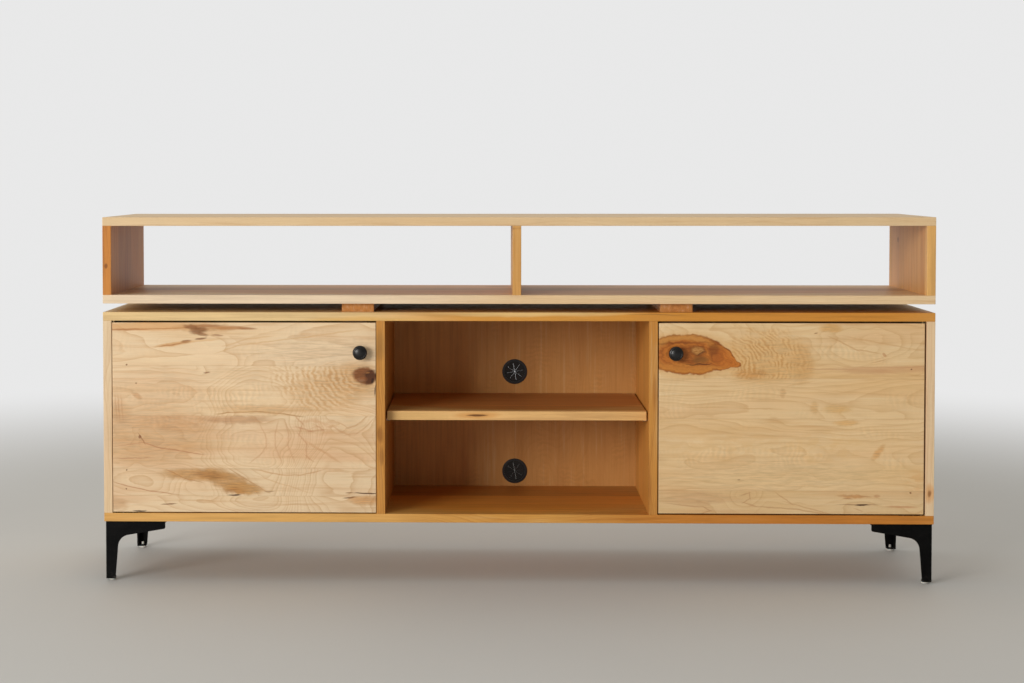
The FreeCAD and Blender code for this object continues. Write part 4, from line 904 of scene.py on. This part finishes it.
def star_insert(node):
    """The rubber insert at rest: a rim and eight flaps that close to hairline slits, eased along their edges."""
    lo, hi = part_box(node)
    cx, cz = (lo[0] + hi[0]) / 2, (lo[2] + hi[2]) / 2
    rad = (hi[0] - lo[0]) / 2
    y0, y1 = lo[1], hi[1]
    bm = bmesh.new()

    def wall(loops):
        rows = [[bm.verts.new((cx + x, y, cz + z)) for x, z in pts] for y, pts in loops]
        n = len(rows[0])
        for a, b in zip(rows, rows[1:]):
            for i in range(n):
                j = (i + 1) % n
                bm.faces.new((a[i], a[j], b[j], b[i]))
        return rows

    inner, half, core, ease = 0.0205, 0.00015, 0.0006, 0.00035
    for k in range(8):
        a0, a1 = math.radians(45.0 * k + 10.0), math.radians(45.0 * (k + 1) + 10.0)
        mid = (a0 + a1) / 2

        def flap(grow):
            h, c, r = half + grow, core + grow * 1.6, inner - grow * 0.2
            pts = []
            for rr in (c, r * 0.35, r * 0.7, r):
                pts.append((rr * math.cos(a0) - h * math.sin(a0), rr * math.sin(a0) + h * math.cos(a0)))
            for i in range(1, 10):
                a = a0 + (a1 - a0) * i / 10
                pts.append((r * math.cos(a), r * math.sin(a)))
            for rr in (r, r * 0.7, r * 0.35, c):
                pts.append((rr * math.cos(a1) + h * math.sin(a1), rr * math.sin(a1) - h * math.cos(a1)))
            return pts

        rows = wall([(y1, flap(0.0)), (y0 + ease, flap(0.0)), (y0, flap(ease))])
        bm.faces.new(rows[0])
        bm.faces.new(rows[-1])
    n = 72
    ang = [2 * math.pi * i / n for i in range(n)]

    def circle(r):
        return [(r * math.cos(a), r * math.sin(a)) for a in ang]

    rows = wall([(y1, circle(inner)), (y0, circle(inner)), (y0, circle(rad - ease)), (y0 + ease, circle(rad)),
                 (y1, circle(rad))])
    for i in range(n):
        j = (i + 1) % n
        bm.faces.new((rows[-1][i], rows[-1][j], rows[0][j], rows[0][i]))
    bmesh.ops.recalc_face_normals(bm, faces=bm.faces)
    me = bpy.data.meshes.new("star_" + node)
    bm.to_mesh(me)
    bm.free()
    o = bpy.data.objects.new("star_" + node, me)
    scene.collection.objects.link(o)
    me.materials.append(RUBBER)
    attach(o, "cabinet")
    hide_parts(node)
    return o


star_insert("grommet_insert_upper")
star_insert("grommet_insert_lower")
paint(moulded("catch_plastic", (0.10, 0.055, 0.030, 1), (0.14, 0.078, 0.042, 1), 0.45), "catch_housing_left", "catch_housing_right")
paint(moulded("nylon_glide", (0.70, 0.69, 0.65, 1), (0.60, 0.58, 0.53, 1), 0.40, 0.9, 0.45, 0.25), "leg_glides")


def metal(name, c1, c2, rough, axis=(14.0, 0.25, 0.25)):
    t = Tree(name)
    Q = millimetres(t)
    brush = t.noise(Q, axis, 3.0, 0.65)
    cloud = t.noise(Q, 5.0, 3.0, 0.6)
    col = t.mix(t.smooth(cloud, 0.3, 0.7), c1, c2)
    col = t.mix(t.m("MULTIPLY", t.smooth(brush, 0.45, 0.75), 0.35), col, tuple(k * 0.62 for k in c1[:3]) + (1.0,))
    ro = t.m("MULTIPLY_ADD", brush, 0.25, rough)
    return t.finish(col, ro, brush, metal=1.0, bump_mm=0.012, strength=0.5)


paint(metal("zinc_plated", (0.62, 0.63, 0.66, 1), (0.52, 0.54, 0.58, 1), 0.24),
      *[n for n in NODES if "screw" in n or n.startswith("strike_plate") or n == "catch_magnets" or n == "shelf_pins"])
paint(metal("blackened_screw", (0.030, 0.029, 0.030, 1), (0.045, 0.043, 0.043, 1), 0.30), "leg_screws")
paint(metal("antique_brass", (0.16, 0.105, 0.050, 1), (0.11, 0.072, 0.036, 1), 0.34),
      *[n for n in NODES if n.startswith("hinge_leaves") or n in ("hinge_pins", "hinge_washers")])


# ---------------------------------------------------------------- floor, light, camera

BACK = 0.812


def floor():
    me = bpy.data.meshes.new("floor")
    bm = bmesh.new()
    rings = [0.0, 0.6, 1.2, 2.0, 3.2, 5.0, 8.0]
    n = 96
    prev = [bm.verts.new((0.0, 0.0, 0.0))] * n
    for rad in rings[1:]:
        cur = [bm.verts.new((rad * math.cos(2 * math.pi * i / n), rad * math.sin(2 * math.pi * i / n), 0.0)) for i in range(n)]
        for i in range(n):
            j = (i + 1) % n
            f = (prev[i], cur[i], cur[j]) if prev[i] is prev[j] else (prev[i], cur[i], cur[j], prev[j])
            bm.faces.new(f)
        prev = cur
    bm.to_mesh(me)
    bm.free()
    o = bpy.data.objects.new("floor", me)
    scene.collection.objects.link(o)
    o.location = (0.0, 0.0, -0.0003)
    t = Tree("floor_plain")
    P = t.position()
    cloud = t.noise(P, 0.6, 3.0, 0.5)
    grain = t.noise(P, 0.006, 3.0, 0.6)
    k = t.m("MULTIPLY_ADD", t.m("SUBTRACT", cloud, 0.5), 0.05, 1.0)
    k = t.m("MULTIPLY_ADD", t.m("SUBTRACT", grain, 0.5), 0.03, k)
    col = t.mix(1.0, (0.62, 0.615, 0.60, 1.0), t.xyz(k, k, k), "MULTIPLY")
    d = t.new("ShaderNodeBsdfPrincipled")
    t.put(d.inputs["Base Color"], col)
    t.put(d.inputs["Roughness"], 0.7)
    t.put(d.inputs["Specular IOR Level"], 0.25)
    e = t.new("ShaderNodeEmission")
    t.put(e.inputs["Color"], (BACK, BACK * 1.0, BACK * 1.0, 1.0))
    t.put(e.inputs["Strength"], 1.0)
    rad = t.vm("LENGTH", P)
    f = t.smooth(rad, 1.5, 4.2)
    mix = t.new("ShaderNodeMixShader")
    t.put(mix.inputs[0], f)
    t.t.links.new(d.outputs[0], mix.inputs[1])
    t.t.links.new(e.outputs[0], mix.inputs[2])
    out = t.new("ShaderNodeOutputMaterial")
    t.t.links.new(mix.outputs[0], out.inputs["Surface"])
    t.mat.cycles.emission_sampling = "NONE"
    me.materials.append(t.mat)
    return o


floor()

world = bpy.data.worlds.new("studio")
scene.world = world
world.use_nodes = True


def sky():
    """A pale studio: light walls behind and to the left, a dimmer room in front; the backdrop itself is plain."""
    t = Tree.__new__(Tree)
    t.mat, t.t = None, world.node_tree
    t.t.nodes.clear()
    x, y, z = t.sep(t.new("ShaderNodeTexCoord").outputs["Generated"])
    v = t.m("MULTIPLY_ADD", t.smooth(y, -0.15, 0.85), SKY[1], SKY[0])
    v = t.m("MULTIPLY_ADD", t.smooth(t.m("MULTIPLY", x, -1.0), 0.0, 1.0), SKY[2], v)
    v = t.m("MULTIPLY_ADD", t.smooth(z, 0.1, 0.9), SKY[3], v)
    path = t.new("ShaderNodeLightPath")
    c = t.mix(path.outputs["Is Camera Ray"], t.xyz(v, t.m("MULTIPLY", v, 0.965), t.m("MULTIPLY", v, 0.89)), (BACK, BACK, BACK, 1.0))
    b = t.new("ShaderNodeBackground")
    t.put(b.inputs["Color"], c)
    o = t.new("ShaderNodeOutputWorld")
    t.t.links.new(b.outputs[0], o.inputs["Surface"])


SKY = (0.24, 0.46, 0.20, 0.14)
sky()


def area(name, loc, target, size, power, colour):
    d = bpy.data.lights.new(name, "AREA")
    d.shape = "RECTANGLE"
    d.size, d.size_y = size
    d.energy = power
    d.color = colour
    o = bpy.data.objects.new(name, d)
    scene.collection.objects.link(o)
    o.location = loc
    o.visible_camera = False
    o.rotation_euler = (Vector(target) - Vector(loc)).to_track_quat("-Z", "Y").to_euler()
    return o


area("key", (-6.0, -8.0, 2.3), (0.0, 0.0, 0.45), (4.4, 3.4), 640.0, (1.0, 0.985, 0.955))
area("top", (-0.6, 0.2, 3.6), (0.0, 0.0, 0.6), (3.2, 2.2), 14.0, (0.95, 0.98, 1.0))

cam = bpy.data.cameras.new("camera")
cam.sensor_width = 36.0
cam.lens = 68.375
cam.shift_x = 0.0688
cam.shift_y = -0.0928
cam.clip_end = 60.0
co = bpy.data.objects.new("camera", cam)
scene.collection.objects.link(co)
co.matrix_world = (Matrix.Translation((-0.0553, -4.4594, 0.8944))
                   @ Matrix.Rotation(math.radians(1.479), 4, "Z")
                   @ Matrix.Rotation(math.radians(90.0 - 2.04), 4, "X")
                   @ Matrix.Rotation(math.radians(-0.037), 4, "Z"))
scene.camera = co
scene.view_settings.view_transform = "Standard"
